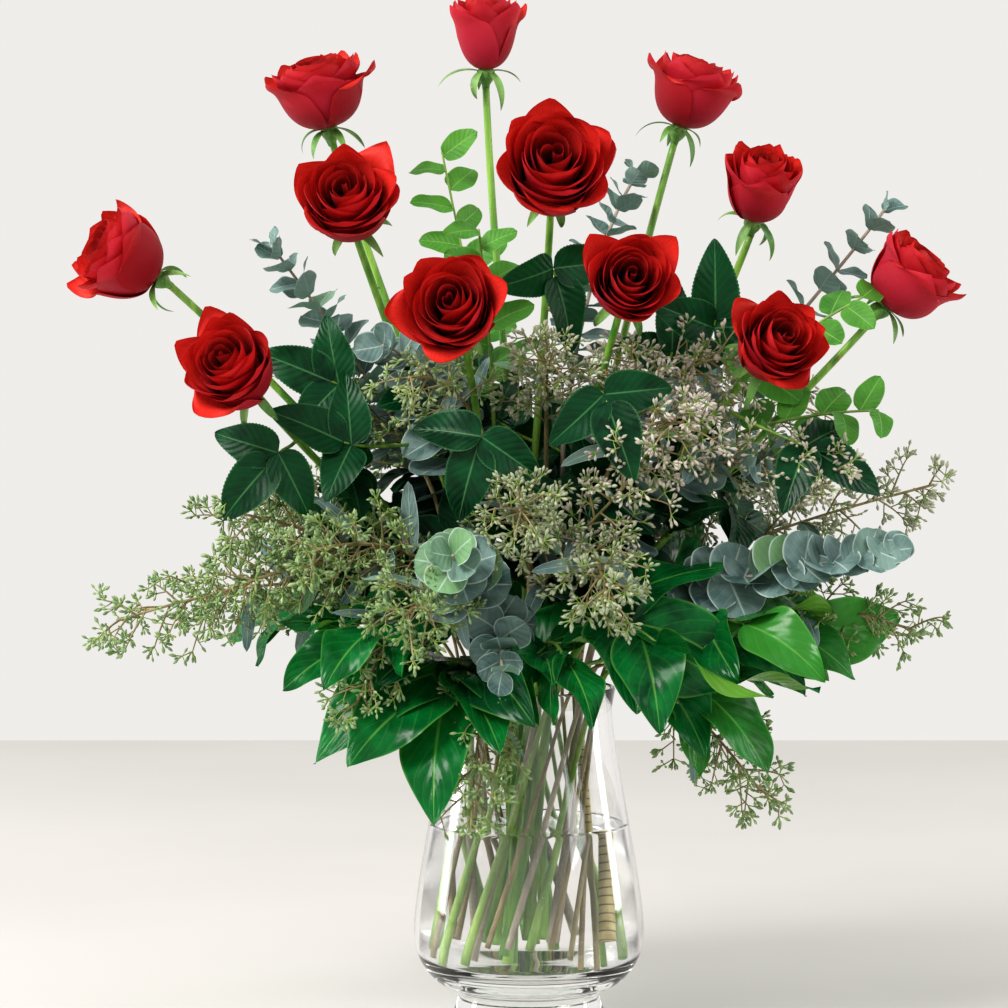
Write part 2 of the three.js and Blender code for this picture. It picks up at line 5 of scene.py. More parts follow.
import bpy
import numpy as np
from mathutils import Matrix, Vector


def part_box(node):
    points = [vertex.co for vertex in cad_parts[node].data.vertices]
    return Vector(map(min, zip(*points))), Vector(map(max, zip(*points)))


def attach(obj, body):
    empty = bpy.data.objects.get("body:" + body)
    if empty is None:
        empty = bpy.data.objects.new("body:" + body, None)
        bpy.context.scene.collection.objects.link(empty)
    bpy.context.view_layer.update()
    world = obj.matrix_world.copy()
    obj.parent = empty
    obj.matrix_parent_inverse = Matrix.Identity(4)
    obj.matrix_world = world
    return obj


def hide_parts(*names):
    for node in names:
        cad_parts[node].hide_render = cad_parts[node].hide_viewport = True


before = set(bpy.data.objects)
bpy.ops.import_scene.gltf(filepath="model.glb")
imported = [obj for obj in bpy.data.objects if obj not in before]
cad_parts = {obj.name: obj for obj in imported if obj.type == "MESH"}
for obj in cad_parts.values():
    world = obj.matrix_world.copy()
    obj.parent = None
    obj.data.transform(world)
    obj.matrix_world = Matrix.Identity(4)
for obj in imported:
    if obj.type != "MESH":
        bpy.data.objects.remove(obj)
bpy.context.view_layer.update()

MM = 0.001
rng = np.random.default_rng(12)
uniform, normal = rng.uniform, rng.normal


def new_object(name, data):
    made = bpy.data.objects.new(name, data)
    bpy.context.scene.collection.objects.link(made)
    return made


# ---- camera and lamps

CAMERA = {"place": (-15, -2340, 454), "pitch": 3.43, "lens": 139.5, "sensor": 36, "sees_to": 100000}

# Each soft lamp: its name, its place, the point it faces and its two sides, in metres, its watts and colour.
LAMPS = [
    ("key", (-1.5, -1.5, 2.3), (0, 0, 0.35), (1.2, 1.2), 74, (1.0, 0.98, 0.95)),
    ("fill", (2.2, -1.4, 1.0), (0, 0, 0.35), (1.0, 1.0), 10, (0.95, 0.97, 1.0)),
    ("window_left", (-1.5, 0.25, 0.75), (0, 0, 0.2), (0.35, 1.5), 10, (1.0, 1.0, 1.0)),
    ("window_right", (1.5, 0.35, 0.75), (0, 0, 0.2), (0.25, 1.5), 7, (1.0, 1.0, 1.0)),
]


def add_camera():
    data = bpy.data.cameras.new("camera")
    data.lens = CAMERA["lens"]
    data.sensor_width = CAMERA["sensor"]
    data.clip_end = CAMERA["sees_to"] * MM
    camera = new_object("camera", data)
    camera.location = [coordinate * MM for coordinate in CAMERA["place"]]
    camera.rotation_euler = (math.radians(90 - CAMERA["pitch"]), 0, 0)
    bpy.context.scene.camera = camera


def add_lamps():
    for name, place, aim, sides, watts, colour in LAMPS:
        data = bpy.data.lights.new(name, "AREA")
        data.shape = "RECTANGLE"
        data.size, data.size_y = sides
        data.energy = watts
        data.color = colour
        lamp = new_object(name, data)
        lamp.location = place
        towards = Vector(aim) - Vector(place)
        lamp.rotation_euler = towards.to_track_quat("-Z", "Y").to_euler()


add_camera()

# ---- node materials

MIX_COLOURS_IN, MIX_COLOUR_OUT = slice(6, 8), 2  # a Mix node's sockets for colours


class Paint:
    """A node material, with short calls for the nodes that these materials share."""

    def __init__(self, name):
        self.material = bpy.data.materials.new(name)
        self.material.use_nodes = True
        self.tree = self.material.node_tree
        self.tree.nodes.clear()
        self.output = self.add("ShaderNodeOutputMaterial")

    def add(self, kind, **settings):
        node = self.tree.nodes.new(kind)
        for key, value in settings.items():
            setattr(node, key, value)
        return node

    def feed(self, socket, value):
        if isinstance(value, bpy.types.NodeSocket):
            self.tree.links.new(value, socket)
        else:
            socket.default_value = value

    def feed_all(self, sockets, values):
        for socket, value in zip(sockets, values):
            self.feed(socket, value)

    def math(self, operation, a, b=0.0, c=0.0):
        node = self.add("ShaderNodeMath", operation=operation)
        self.feed_all(node.inputs, (a, b, c))
        return node.outputs[0]

    def between(self, value, low, high, to_low=0.0, to_high=1.0):
        """A smooth step from to_low to to_high, while value goes from low to high."""
        node = self.add("ShaderNodeMapRange", interpolation_type="SMOOTHSTEP")
        self.feed_all(node.inputs, (value, low, high, to_low, to_high))
        return node.outputs[0]

    def mix(self, share, a, b):
        node = self.add("ShaderNodeMix", data_type="RGBA")
        self.feed(node.inputs["Factor"], share)
        self.feed_all(node.inputs[MIX_COLOURS_IN], (a, b))
        return node.outputs[MIX_COLOUR_OUT]

    def noise(self, scale, detail=3.0, stretch=(1, 1, 1), where="Object"):
        place = self.add("ShaderNodeTexCoord").outputs[where]
        mapping = self.add("ShaderNodeMapping")
        mapping.inputs["Scale"].default_value = stretch
        self.feed(mapping.inputs["Vector"], place)
        node = self.add("ShaderNodeTexNoise")
        self.feed(node.inputs["Vector"], mapping.outputs[0])
        node.inputs["Scale"].default_value = scale
        node.inputs["Detail"].default_value = detail
        return node.outputs["Fac"]

    def tint(self):
        """Three numbers kept on each point: a random one for its piece, and two that differ by kind."""
        node = self.add("ShaderNodeAttribute", attribute_name="tint")
        split = self.add("ShaderNodeSeparateColor")
        self.feed(split.inputs[0], node.outputs["Color"])
        return split.outputs

    def uv(self):
        split = self.add("ShaderNodeSeparateXYZ")
        self.feed(split.inputs[0], self.add("ShaderNodeTexCoord").outputs["UV"])
        return split.outputs[0], split.outputs[1]

    def bump(self, height, strength, distance):
        node = self.add("ShaderNodeBump")
        node.inputs["Strength"].default_value = strength
        node.inputs["Distance"].default_value = distance * MM
        self.feed(node.inputs["Height"], height)
        return node.outputs[0]

    def principled(self, **inputs):
        node = self.add("ShaderNodeBsdfPrincipled")
        for key, value in inputs.items():
            self.feed(node.inputs[key.replace("_", " ")], value)
        return node.outputs[0]

    def both(self, share, a, b):
        node = self.add("ShaderNodeMixShader")
        self.feed_all(node.inputs, (share, a, b))
        return node.outputs[0]

    def finish(self, shader, glow=None, share=0.0):
        """glow is the colour of the light that comes through the sheet, and share is how much does."""
        if glow:
            through = self.add("ShaderNodeBsdfTranslucent")
            self.feed(through.inputs["Color"], glow)
            shader = self.both(share, shader, through.outputs[0])
        self.feed(self.output.inputs[0], shader)
        return self.material


def rgb(r, g, b):
    """A colour given as it shows on a screen, from 0 to 255."""
    shown = [c / 255 for c in (r, g, b)]
    return tuple(((c + 0.055) / 1.055) ** 2.4 if c > 10 / 255 else c / 12.92 for c in shown) + (1,)


def petal_material():
    paint = Paint("rose_petal")
    chance, along, outer = paint.tint()[:3]
    # painted shade: each petal darkens from its rim down to its foot, deep in the cup, and most in the heart
    shaded_foot = paint.mix(outer, rgb(80, 10, 12), rgb(132, 16, 22))
    bright = paint.mix(chance, rgb(204, 42, 32), rgb(228, 58, 46))
    # painted shade: the heart's inner petals are painted dark over their upper parts too, less so further out
    bright = paint.mix(paint.between(outer, 0.05, 0.4, 0.8, 0), bright, rgb(98, 14, 18))
    body = paint.mix(paint.between(along, 0.35, 0.9), shaded_foot, bright)
    body = paint.mix(paint.between(along, 0.95, 1.0, 0, 0.4), body, rgb(102, 10, 24))
    streaks = paint.noise(5, 4, (16, 1.5, 1), "UV")
    body = paint.mix(paint.between(streaks, 0.4, 0.75, 0, 0.35), body, rgb(104, 10, 16))
    mottle = paint.noise(90, 2)
    body = paint.mix(paint.between(mottle, 0.45, 0.8, 0, 0.3), body, rgb(208, 48, 58))
    behind = paint.add("ShaderNodeNewGeometry").outputs["Backfacing"]
    outside = paint.math("MULTIPLY", behind, paint.between(outer, 0.2, 0.8, 0.2, 0.85))
    body = paint.mix(outside, body, paint.mix(chance, rgb(160, 26, 40), rgb(194, 46, 70)))
    bump = paint.bump(paint.math("ADD", streaks, mottle), 0.4, 0.6)
    shader = paint.principled(
        Base_Color=body, Roughness=0.5, Normal=bump, Specular_IOR_Level=0.2, Sheen_Weight=0.12,
        Sheen_Roughness=0.4, Sheen_Tint=rgb(255, 110, 130),
    )
    return paint.finish(shader, rgb(220, 44, 38), 0.22)


FRESH_LEAF = rgb(72, 146, 54)


def leaf_material(name, colours, veins, slant, gloss, bloom=0.0, odd=None, ribbed=0.2):
    """A leaf with a midrib and side veins drawn along its own length and width.

    The colours are its light and dark parts, its veins, its back and the light through it. odd is the colour
    of a few leaves, and bloom is how far the veins' colour covers the rim.
    """
    light, dark, vein, back, glow = (rgb(*colour) for colour in colours)
    paint = Paint(name)
    chance, _, fresh = paint.tint()[:3]
    across, along = paint.uv()
    aside = paint.math("ABSOLUTE", paint.math("MULTIPLY_ADD", across, 2.0, -1.0))
    midrib = paint.between(aside, 0.0, 0.07, 1, 0)
    phase = paint.math("MULTIPLY_ADD", along, veins, paint.math("MULTIPLY", aside, -slant))
    wiggle = paint.math("MULTIPLY_ADD", paint.noise(30, 1), 0.5, phase)
    saw = paint.math("ABSOLUTE", paint.math("SUBTRACT", paint.math("FRACT", wiggle), 0.5))
    fading = paint.between(aside, 0.75, 1.0, 1, 0.1)
    ribs = paint.math("MULTIPLY", paint.between(saw, 0.0, 0.1, 1, 0), fading)
    mottle = paint.noise(70, 4)
    colour = paint.mix(paint.between(mottle, 0.3, 0.7), dark, light)
    colour = paint.mix(paint.math("MULTIPLY", chance, 0.6), colour, light)
    if odd:
        colour = paint.mix(paint.between(chance, 0.78, 1.0, 0, 0.75), colour, rgb(*odd))
    colour = paint.mix(fresh, colour, FRESH_LEAF)
    lines = paint.math("MAXIMUM", midrib, paint.math("MULTIPLY", ribs, ribbed))
    colour = paint.mix(paint.math("MULTIPLY", lines, 0.7), colour, vein)
    rim = paint.between(aside, 0.9, 1.0, 0, 0.45 + bloom)
    colour = paint.mix(rim, colour, vein)
    behind = paint.add("ShaderNodeNewGeometry").outputs["Backfacing"]
    colour = paint.mix(paint.math("MULTIPLY", behind, 0.7), colour, back)
    quilt = paint.math("SUBTRACT", paint.between(saw, 0.0, 0.5), paint.math("MULTIPLY", midrib, 0.8))
    fine = paint.math("MULTIPLY", paint.noise(420, 2), 0.25)
    bump = paint.bump(paint.math("ADD", quilt, fine), 0.3, 0.6)
    rough = paint.between(mottle, 0.2, 0.8, gloss, gloss + 0.16)
    shader = paint.principled(Base_Color=colour, Roughness=rough, Normal=bump, Specular_IOR_Level=0.22)
    return paint.finish(shader, glow, 0.1)


def stem_material(name, colours, roughness=0.5, rings=0):
    """A stem with streaks along it, and flecks of bark; rings is the number of dark scars round it."""
    light, dark, marks = (rgb(*colour) for colour in colours)
    paint = Paint(name)
    chance, along = paint.tint()[:2]
    streaks = paint.noise(120, 3, (1, 1, 0.12))
    colour = paint.mix(paint.between(streaks, 0.35, 0.7), dark, light)
    flecks = paint.between(paint.noise(520, 2), 0.6, 0.72)
    colour = paint.mix(paint.math("MULTIPLY", flecks, 0.6), colour, marks)
    colour = paint.mix(paint.math("MULTIPLY", along, chance), colour, marks)
    if rings:
        step = paint.math("FRACT", paint.math("MULTIPLY_ADD", paint.uv()[1], rings, paint.noise(40, 1)))
        scar = paint.math("ABSOLUTE", paint.math("SUBTRACT", step, 0.5))
        colour = paint.mix(paint.between(scar, 0.04, 0.14, 0.9, 0), colour, rgb(84, 44, 20))
    bump = paint.bump(paint.math("ADD", streaks, flecks), 0.5, 0.4)
    return paint.finish(paint.principled(Base_Color=colour, Roughness=roughness, Normal=bump))


WHITE = (1, 1, 1, 1)


def seed_material():
    paint = Paint("eucalyptus_seed")
    chance, along, pale = paint.tint()[:3]
    colour = paint.mix(chance, rgb(98, 132, 84), rgb(150, 172, 116))
    colour = paint.mix(pale, colour, rgb(205, 192, 186))
    colour = paint.mix(paint.between(along, 0.7, 1.0, 0, 0.7), colour, rgb(120, 84, 70))
    mottle = paint.noise(700, 3)
    colour = paint.mix(paint.between(mottle, 0.5, 0.8, 0, 0.4), colour, rgb(190, 200, 165))
    bump = paint.bump(mottle, 0.4, 0.3)
    return paint.finish(paint.principled(Base_Color=colour, Roughness=0.6, Normal=bump))


def clear_material(name, bending):
    """Glass or water that lets lamps through to what is behind it."""
    paint = Paint(name)
    ripple = paint.bump(paint.noise(14, 1), 0.05, 1.0)
    shader = paint.principled(
        Base_Color=WHITE, Roughness=0.0, Normal=ripple, Transmission_Weight=1.0, IOR=bending,
    )
    clear = paint.add("ShaderNodeBsdfTransparent")
    clear.inputs[0].default_value = (0.96, 0.98, 0.97, 1)
    in_shadow = paint.add("ShaderNodeLightPath").outputs["Is Shadow Ray"]
    return paint.finish(paint.both(in_shadow, shader, clear.outputs[0]))


def floor_material():
    paint = Paint("floor")
    patches = paint.between(paint.noise(3, 3), 0.3, 0.7)
    tone = paint.mix(patches, rgb(194, 192, 189), rgb(198, 196, 193))
    return paint.finish(paint.principled(Base_Color=tone, Roughness=0.5))


LEAF_LOOKS = {
    "rose_leaf": {
        "colours": [(4, 74, 38), (0, 34, 20), (84, 142, 90), (64, 108, 76), (30, 100, 26)],
        "veins": 9, "slant": 2.4, "gloss": 0.28, "odd": (10, 52, 38), "ribbed": 0.1,
    },
    "lemon_leaf": {
        "colours": [(2, 108, 48), (0, 54, 28), (104, 166, 76), (112, 160, 56), (50, 130, 24)],
        "veins": 6, "slant": 2.6, "gloss": 0.16, "odd": (0, 42, 28),
    },
    "sprig_leaf": {
        "colours": [(84, 146, 58), (44, 106, 38), (140, 186, 104), (120, 166, 92), (140, 200, 60)],
        "veins": 8, "slant": 1.6, "gloss": 0.4,
    },
    "spiral_leaf": {
        "colours": [(128, 154, 150), (54, 86, 84), (200, 216, 210), (130, 154, 150), (110, 150, 120)],
        "veins": 5, "slant": 1.8, "gloss": 0.5, "bloom": 0.45, "odd": (124, 170, 108),
    },
}
# The colours of a stem are its light and dark streaks and its flecks.
STEM_LOOKS = {
    "rose_stem": {"colours": [(140, 188, 76), (74, 138, 44), (150, 104, 60)], "roughness": 0.4},
    "sepal": {"colours": [(112, 160, 76), (66, 120, 46), (160, 180, 120)]},
    "brown_twig": {"colours": [(164, 144, 100), (116, 98, 66), (150, 160, 110)]},
    "grey_twig": {"colours": [(178, 168, 150), (132, 122, 106), (190, 180, 160)]},
    "green_twig": {"colours": [(140, 176, 80), (96, 140, 56), (170, 180, 110)]},
    "ringed_twig": {"colours": [(204, 188, 124), (160, 150, 88), (140, 112, 70)], "rings": 56},
}
MATERIALS = {
    "petal": petal_material(),
    "seed": seed_material(),
    "glass": clear_material("vase_glass", 1.5),
    "water": clear_material("water", 1.33),
    "floor": floor_material(),
    **{name: leaf_material(name, **looks) for name, looks in LEAF_LOOKS.items()},
    **{name: stem_material(name, **looks) for name, looks in STEM_LOOKS.items()},
}

# ---- meshes from grids of points


def fill(items, key, values, kind=np.float32):
    items.foreach_set(key, values.astype(kind).ravel())


def taken(items, key, size, kind):
    values = np.empty(len(items) * size, kind)
    items.foreach_get(key, values)
    return values.reshape(-1, size)


class Sheets:
    """Gathers grids of points, each one leaf, petal, twig or seed, into one mesh."""

    def __init__(self):
        self.points, self.quads, self.uvs, self.tints, self.materials = [], [], [], [], []
        self.used = []
        self.count = 0

    def add(self, points, material, tint=(0.5, 0.5, 0.5), closed=False):
        """points is rows by columns by 3, in mm. Where it is closed, the last column joins the first."""
        rows, columns = points.shape[:2]
        index = np.arange(rows * columns).reshape(rows, columns) + self.count
        after = np.roll(index, -1, axis=1) if closed else index[:, 1:]
        before = index if closed else index[:, :-1]
        quads = np.stack([before[:-1], after[:-1], after[1:], before[1:]], axis=-1).reshape(-1, 4)
        if not closed:
            quads = quads[:, ::-1]
        across, along = np.meshgrid(np.linspace(0, 1, columns), np.linspace(0, 1, rows))
        if material not in self.used:
            self.used.append(material)
        self.points.append(points.reshape(-1, 3))
        self.quads.append(quads)
        self.uvs.append(np.stack([across, along], axis=-1).reshape(-1, 2))
        marks = [np.broadcast_to(np.asarray(t, float), (rows, columns)) for t in (*tint, 1.0)]
        self.tints.append(np.stack(marks, axis=-1).reshape(-1, 4))
        self.materials.append(np.full(len(quads), self.used.index(material)))
        self.count += rows * columns

    def add_tube(self, path, radii, sides, material, tint, capped=False):
        rings = tube(path, radii, sides)
        self.add(with_cap(rings) if capped else rings, material, tint, closed=True)

    def build(self, name):
        points = np.concatenate(self.points) * MM
        quads = np.concatenate(self.quads)
        mesh = bpy.data.meshes.new(name)
        mesh.vertices.add(len(points))
        fill(mesh.vertices, "co", points)
        mesh.loops.add(quads.size)
        fill(mesh.loops, "vertex_index", quads, np.int32)
        mesh.polygons.add(len(quads))
        fill(mesh.polygons, "loop_start", np.arange(0, quads.size, 4), np.int32)
        fill(mesh.polygons, "loop_total", np.full(len(quads), 4), np.int32)
        fill(mesh.polygons, "material_index", np.concatenate(self.materials), np.int32)
        mesh.update(calc_edges=True)
        fill(mesh.uv_layers.new(name="UVMap").uv, "vector", np.concatenate(self.uvs)[quads.ravel()])
        tint = mesh.color_attributes.new("tint", "FLOAT_COLOR", "POINT")
        fill(tint.data, "color", np.concatenate(self.tints))
        for material in self.used:
            mesh.materials.append(MATERIALS[material])
        mesh.shade_smooth()
        return new_object(name, mesh)

    def place(self, name, slot, *nodes):
        """Builds a piece of the object, which stands for some CAD nodes or for none."""
        piece = self.build(name)
        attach(piece, "root")
        if nodes:
            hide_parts(*nodes)


def unit(v):
    v = np.asarray(v, float)
    return v / np.linalg.norm(v)


def smooth(x):
    x = np.clip(x, 0, 1)
    return x * x * (3 - 2 * x)


def turned(v, axis, angle):
    """v turned about an axis by an angle in radians."""
    v, axis = np.asarray(v, float), unit(axis)
    cosine = math.cos(angle)
    return v * cosine + np.cross(axis, v) * math.sin(angle) + axis * (axis @ v) * (1 - cosine)


def basis(along, face):
    """Rows are the directions along, across and out of a leaf."""
    x = unit(along)
    y = unit(np.cross(face, x))
    return np.stack([x, y, np.cross(x, y)])


def on_curve(t, *knots):
    """Where a cubic Bezier curve is at the shares t of it."""
    p0, p1, p2, p3 = (np.asarray(knot, float) for knot in knots)
    return (1 - t) ** 3 * p0 + 3 * (1 - t) ** 2 * t * p1 + 3 * (1 - t) * t**2 * p2 + t**3 * p3


def bezier(p0, p1, p2, p3, count):
    return on_curve(np.linspace(0, 1, count)[:, None], p0, p1, p2, p3)


def tube(path, radii, sides=8):
    """Rings round a path, carried along it without twist."""
    path = np.asarray(path, float)
    ahead = np.gradient(path, axis=0)
    ahead /= np.linalg.norm(ahead, axis=1)[:, None]
    upright = abs(ahead[0][2]) >= 0.9
    side = unit(np.cross(ahead[0], [1, 0.1, 0] if upright else [0.31, 0.17, 0.94]))
    turn = np.linspace(0, 2 * math.pi, sides, endpoint=False)
    rings = []
    for point, direction, radius in zip(path, ahead, np.broadcast_to(radii, len(path))):
        side = unit(side - direction * (side @ direction))
        other = np.cross(direction, side)
        rings.append(point + radius * (np.cos(turn)[:, None] * side + np.sin(turn)[:, None] * other))
    return np.array(rings)


def with_cap(rings):
    """Closes the first and last ring of a tube on their middles."""
    first, last = (np.broadcast_to(ring.mean(axis=0), ring.shape) for ring in rings[[0, -1]])
    return np.concatenate([[first], rings, [last]])


# ---- places read from the CAD nodes


def corners(node):
    return taken(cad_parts[node].data.vertices, "co", 3, np.float32) / MM


def stem_middle(node, height, reach):
    """Where the stem of a CAD node passes a height, looking no further than reach from the vase's axis."""
    ends = taken(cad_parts[node].data.edges, "vertices", 2, np.int32)
    a, b = corners(node)[ends.T]
    crossing = (a[:, 2] - height) * (b[:, 2] - height) < 0
    a, b = a[crossing], b[crossing]
    share = (height - a[:, 2]) / (b[:, 2] - a[:, 2])
    points = a + (b - a) * share[:, None]
    points = points[np.hypot(points[:, 0], points[:, 1]) < reach]
    return (points.min(axis=0) + points.max(axis=0)) / 2


def bloom_axis(node):
    """The base and the mouth of a bloom's cup, which are its poles, where the most faces meet."""
    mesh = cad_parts[node].data
    mesh.calc_loop_triangles()
    corner = taken(mesh.loop_triangles, "vertices", 3, np.int32)
    places, which = np.unique(np.round(corners(node), 2), axis=0, return_inverse=True)
    meeting = np.bincount(which.ravel()[corner.ravel()], minlength=len(places))
    poles = places[np.argsort(meeting)[-2:]]
    hip = corners(node.replace("bloom", "stem"))
    hip_top = hip[hip[:, 2] > hip[:, 2].max() - 25].mean(axis=0)
    nearness = np.linalg.norm(poles - hip_top, axis=1)
    return poles[np.argmin(nearness)], poles[np.argmax(nearness)]


# ---- vase and water

FOOT_RADIUS, FOOT_HEIGHT, FOOT_EDGE = 46.5, 21, 3
STALK_RADIUS, BOWL_HEIGHT, FLOOR_HEIGHT, WALL = 42, 54, 33, 3
NECK_RADIUS, NECK_HEIGHT, LIP_RADIUS, LIP_ROUND = 50, 192, 52, 1.5
vase_low, vase_high = (np.array(corner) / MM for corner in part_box("vase"))
BOWL_RADIUS = (vase_high[0] - vase_low[0]) / 2
WATER_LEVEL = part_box("water")[1][2] / MM
WATER_GAP = 0.25  # between the water and the glass
TURNED_SIDES = 144


def vase_curves():
    """Lines of radius and height: the foot's, the bowl's, the side's above it, and the whole inside's."""
    rise = NECK_HEIGHT - BOWL_HEIGHT
    foot_line = bezier(
        (FOOT_RADIUS, FOOT_EDGE), (FOOT_RADIUS, FOOT_HEIGHT * 0.4), (STALK_RADIUS, FOOT_HEIGHT * 0.6),
        (STALK_RADIUS, FOOT_HEIGHT), 12,
    )
    bowl_line = bezier(
        (STALK_RADIUS, FOOT_HEIGHT), ((STALK_RADIUS + BOWL_RADIUS) / 2, FOOT_HEIGHT),
        (BOWL_RADIUS, (FOOT_HEIGHT + BOWL_HEIGHT) / 2), (BOWL_RADIUS, BOWL_HEIGHT), 20,
    )
    side_line = bezier(
        (BOWL_RADIUS, BOWL_HEIGHT), (BOWL_RADIUS, BOWL_HEIGHT + rise * 0.24),
        (NECK_RADIUS, NECK_HEIGHT - rise * 0.2), (NECK_RADIUS, NECK_HEIGHT), 40,
    )
    inner_line = bezier(
        (0, FLOOR_HEIGHT), (BOWL_RADIUS * 0.85, FLOOR_HEIGHT), (BOWL_RADIUS - WALL, FLOOR_HEIGHT),
        (BOWL_RADIUS - WALL, BOWL_HEIGHT), 24,
    )
    return foot_line, bowl_line, side_line, np.concatenate([inner_line, side_line[1:] - [WALL, 0]])


def turned_grid(profile):
    """A profile of radius and height, turned round the vase's axis."""
    turn = np.linspace(0, 2 * math.pi, TURNED_SIDES, endpoint=False)
    radius, height = profile[:, :1], profile[:, 1:] + 0 * turn
    return np.stack([radius * np.cos(turn), radius * np.sin(turn), height], axis=-1)


def add_vase():
    foot_line, bowl_line, side_line, inside = vase_curves()
    half_turn = np.linspace(0, math.pi, 9)
    lip_radius = LIP_RADIUS - WALL / 2 + WALL / 2 * np.cos(half_turn)
    lip_height = vase_high[2] - LIP_ROUND + LIP_ROUND * np.sin(half_turn)
    lip_line = np.stack([lip_radius, lip_height], axis=-1)
    bottom = np.array([(-FOOT_RADIUS, 0), (-3, 0), (-2, 0), (-0.6, 0.7), (0, 2)]) + [FOOT_RADIUS, 0]
    profile = np.concatenate([bottom, foot_line, bowl_line[1:], side_line[1:], lip_line, inside[::-1]])
    sheets = Sheets()
    sheets.add(turned_grid(profile), "glass", closed=True)
    sheets.place("clear_vase", "glass", "vase")


def add_water():
    inside = vase_curves()[-1]
    inside = np.stack([np.maximum(inside[:, 0] - WATER_GAP, 0), inside[:, 1] + WATER_GAP], axis=-1)
    wet = inside[inside[:, 1] < WATER_LEVEL - 1.2]
    edge = wet[-1][0]
    # the water climbs a little where it meets the glass
    top = np.array([(edge - 0.1, -0.2), (edge - 0.8, -0.6), (edge - 2.5, -0.9), (0, -0.9)])
    sheets = Sheets()
    sheets.add(turned_grid(np.concatenate([wet, top + [0, WATER_LEVEL]])), "water", closed=True)
    sheets.place("vase_water", "water", "water")


# ---- leaves


def leaf_points(base, along, face, length, width, shape, arch, fold, rows=16, columns=9, wave=0.0, teeth=0,
                tooth=0.07, twist=0.0, phase=0.0, cup=0.0):
    """A leaf as a grid of points.

    shape gives its half width along it, arch bends it down, fold lifts its sides, and cup hollows it.
    """
    s = np.linspace(0, 1, rows)
    half = shape(s) * width / 2
    if teeth:
        half = half * (1 - tooth * (1 - (s * teeth) % 1))
    u = np.linspace(-1, 1, columns)[None, :]
    angle = arch * s**1.2
    step = length / (rows - 1)
    x = np.concatenate([[0], np.cumsum(np.cos(angle[1:]))]) * step
    z = -np.concatenate([[0], np.cumsum(np.sin(angle[1:]))]) * step
    across = u * half[:, None]
    lift = np.abs(across) * fold + cup * (across / (width / 2)) ** 2 * width / 2
    lift = lift + wave * np.sin(s[:, None] * 10 + phase + np.sign(u) * 0.9) * np.abs(u) ** 1.5
    turn = twist * s[:, None]
    y = across * np.cos(turn) - lift * np.sin(turn)
    up = across * np.sin(turn) + lift * np.cos(turn)
    local = np.stack([
        x[:, None] + up * np.sin(angle)[:, None], y, z[:, None] + up * np.cos(angle)[:, None],
    ], axis=-1)
    return np.asarray(base) + local @ basis(along, face)


def outline(fullest, fullness, narrowing, late, tip=0):
    """How wide a leaf is along it: fullest moves its widest place, and narrowing thins it towards its tip."""
    def width(s):
        return np.clip(np.sin(np.pi * s**fullest), 0, 1) ** fullness * (1 - narrowing * s**late) + tip
    return width


oval = outline(0.82, 0.5, 0.1, 1)
heart = outline(0.6, 0.62, 0.3, 3, 0.015)
broad = outline(0.68, 0.72, 0.42, 2.2, 0.012)


def rounded(s):
    return np.sqrt(np.clip(1 - (2 * s - 1) ** 2, 0, 1)) * (0.97 + 0.06 * s) + 0.01


# ---- roses

ROSES = 12
PETALS = 28
PETAL_ROWS, PETAL_COLUMNS = 19, 25
SEPALS = 5
THORNS = 7
LEAFLET_SPREAD = 1.35
GOLDEN = math.radians(137.5)  # the turn from one petal or twig to the next
FULL_TURN, ANY_PHASE = 6.28, 6  # about a whole turn, in radians, for random draws
HIP_LENGTH, HIP_RADIUS = 11, 5.6
# The hip's places along its line and its radius there.
HIP = np.array([(-1, 2.2), (1.5, 2.5), (4, 4.2), (7, HIP_RADIUS), (9.5, HIP_RADIUS * 0.98), (11.5, 4.2)])
END_RUN = 0.35  # how much of a stem's free length runs straight to its tip
ROSE_RISE = 60  # how far above the neck a rose's stem keeps its slant
CUT_SPREAD = 16  # how much the stems' cut ends vary in height
CUT_DEPTH = 4  # how far above its cut end a stem's place is read
BLOOM_LIFT = np.array((0, 0, 3.0))  # how far the petals and the hip stand above the CAD's cup
# Each rose's openness, from a bud at 0 to a bloom past its best, and how wide and deep its petals are against
# the CAD's cup.
OPENNESS = [0.3, 0.6, 0.45, 0.4, 0.7, 0.95, 0.6, 0.75, 0.65, 0.5, 0.7, 0.75]
WIDTH = [1.0, 1.04, 1.09, 1.0, 1.02, 0.93, 1.08, 0.97, 0.95, 1.08, 0.97, 0.91]
DEPTH = [1.03, 1.12, 1.15, 1.08, 1.22, 1.28, 1.16, 1.24, 1.26, 1.14, 1.24, 1.26]


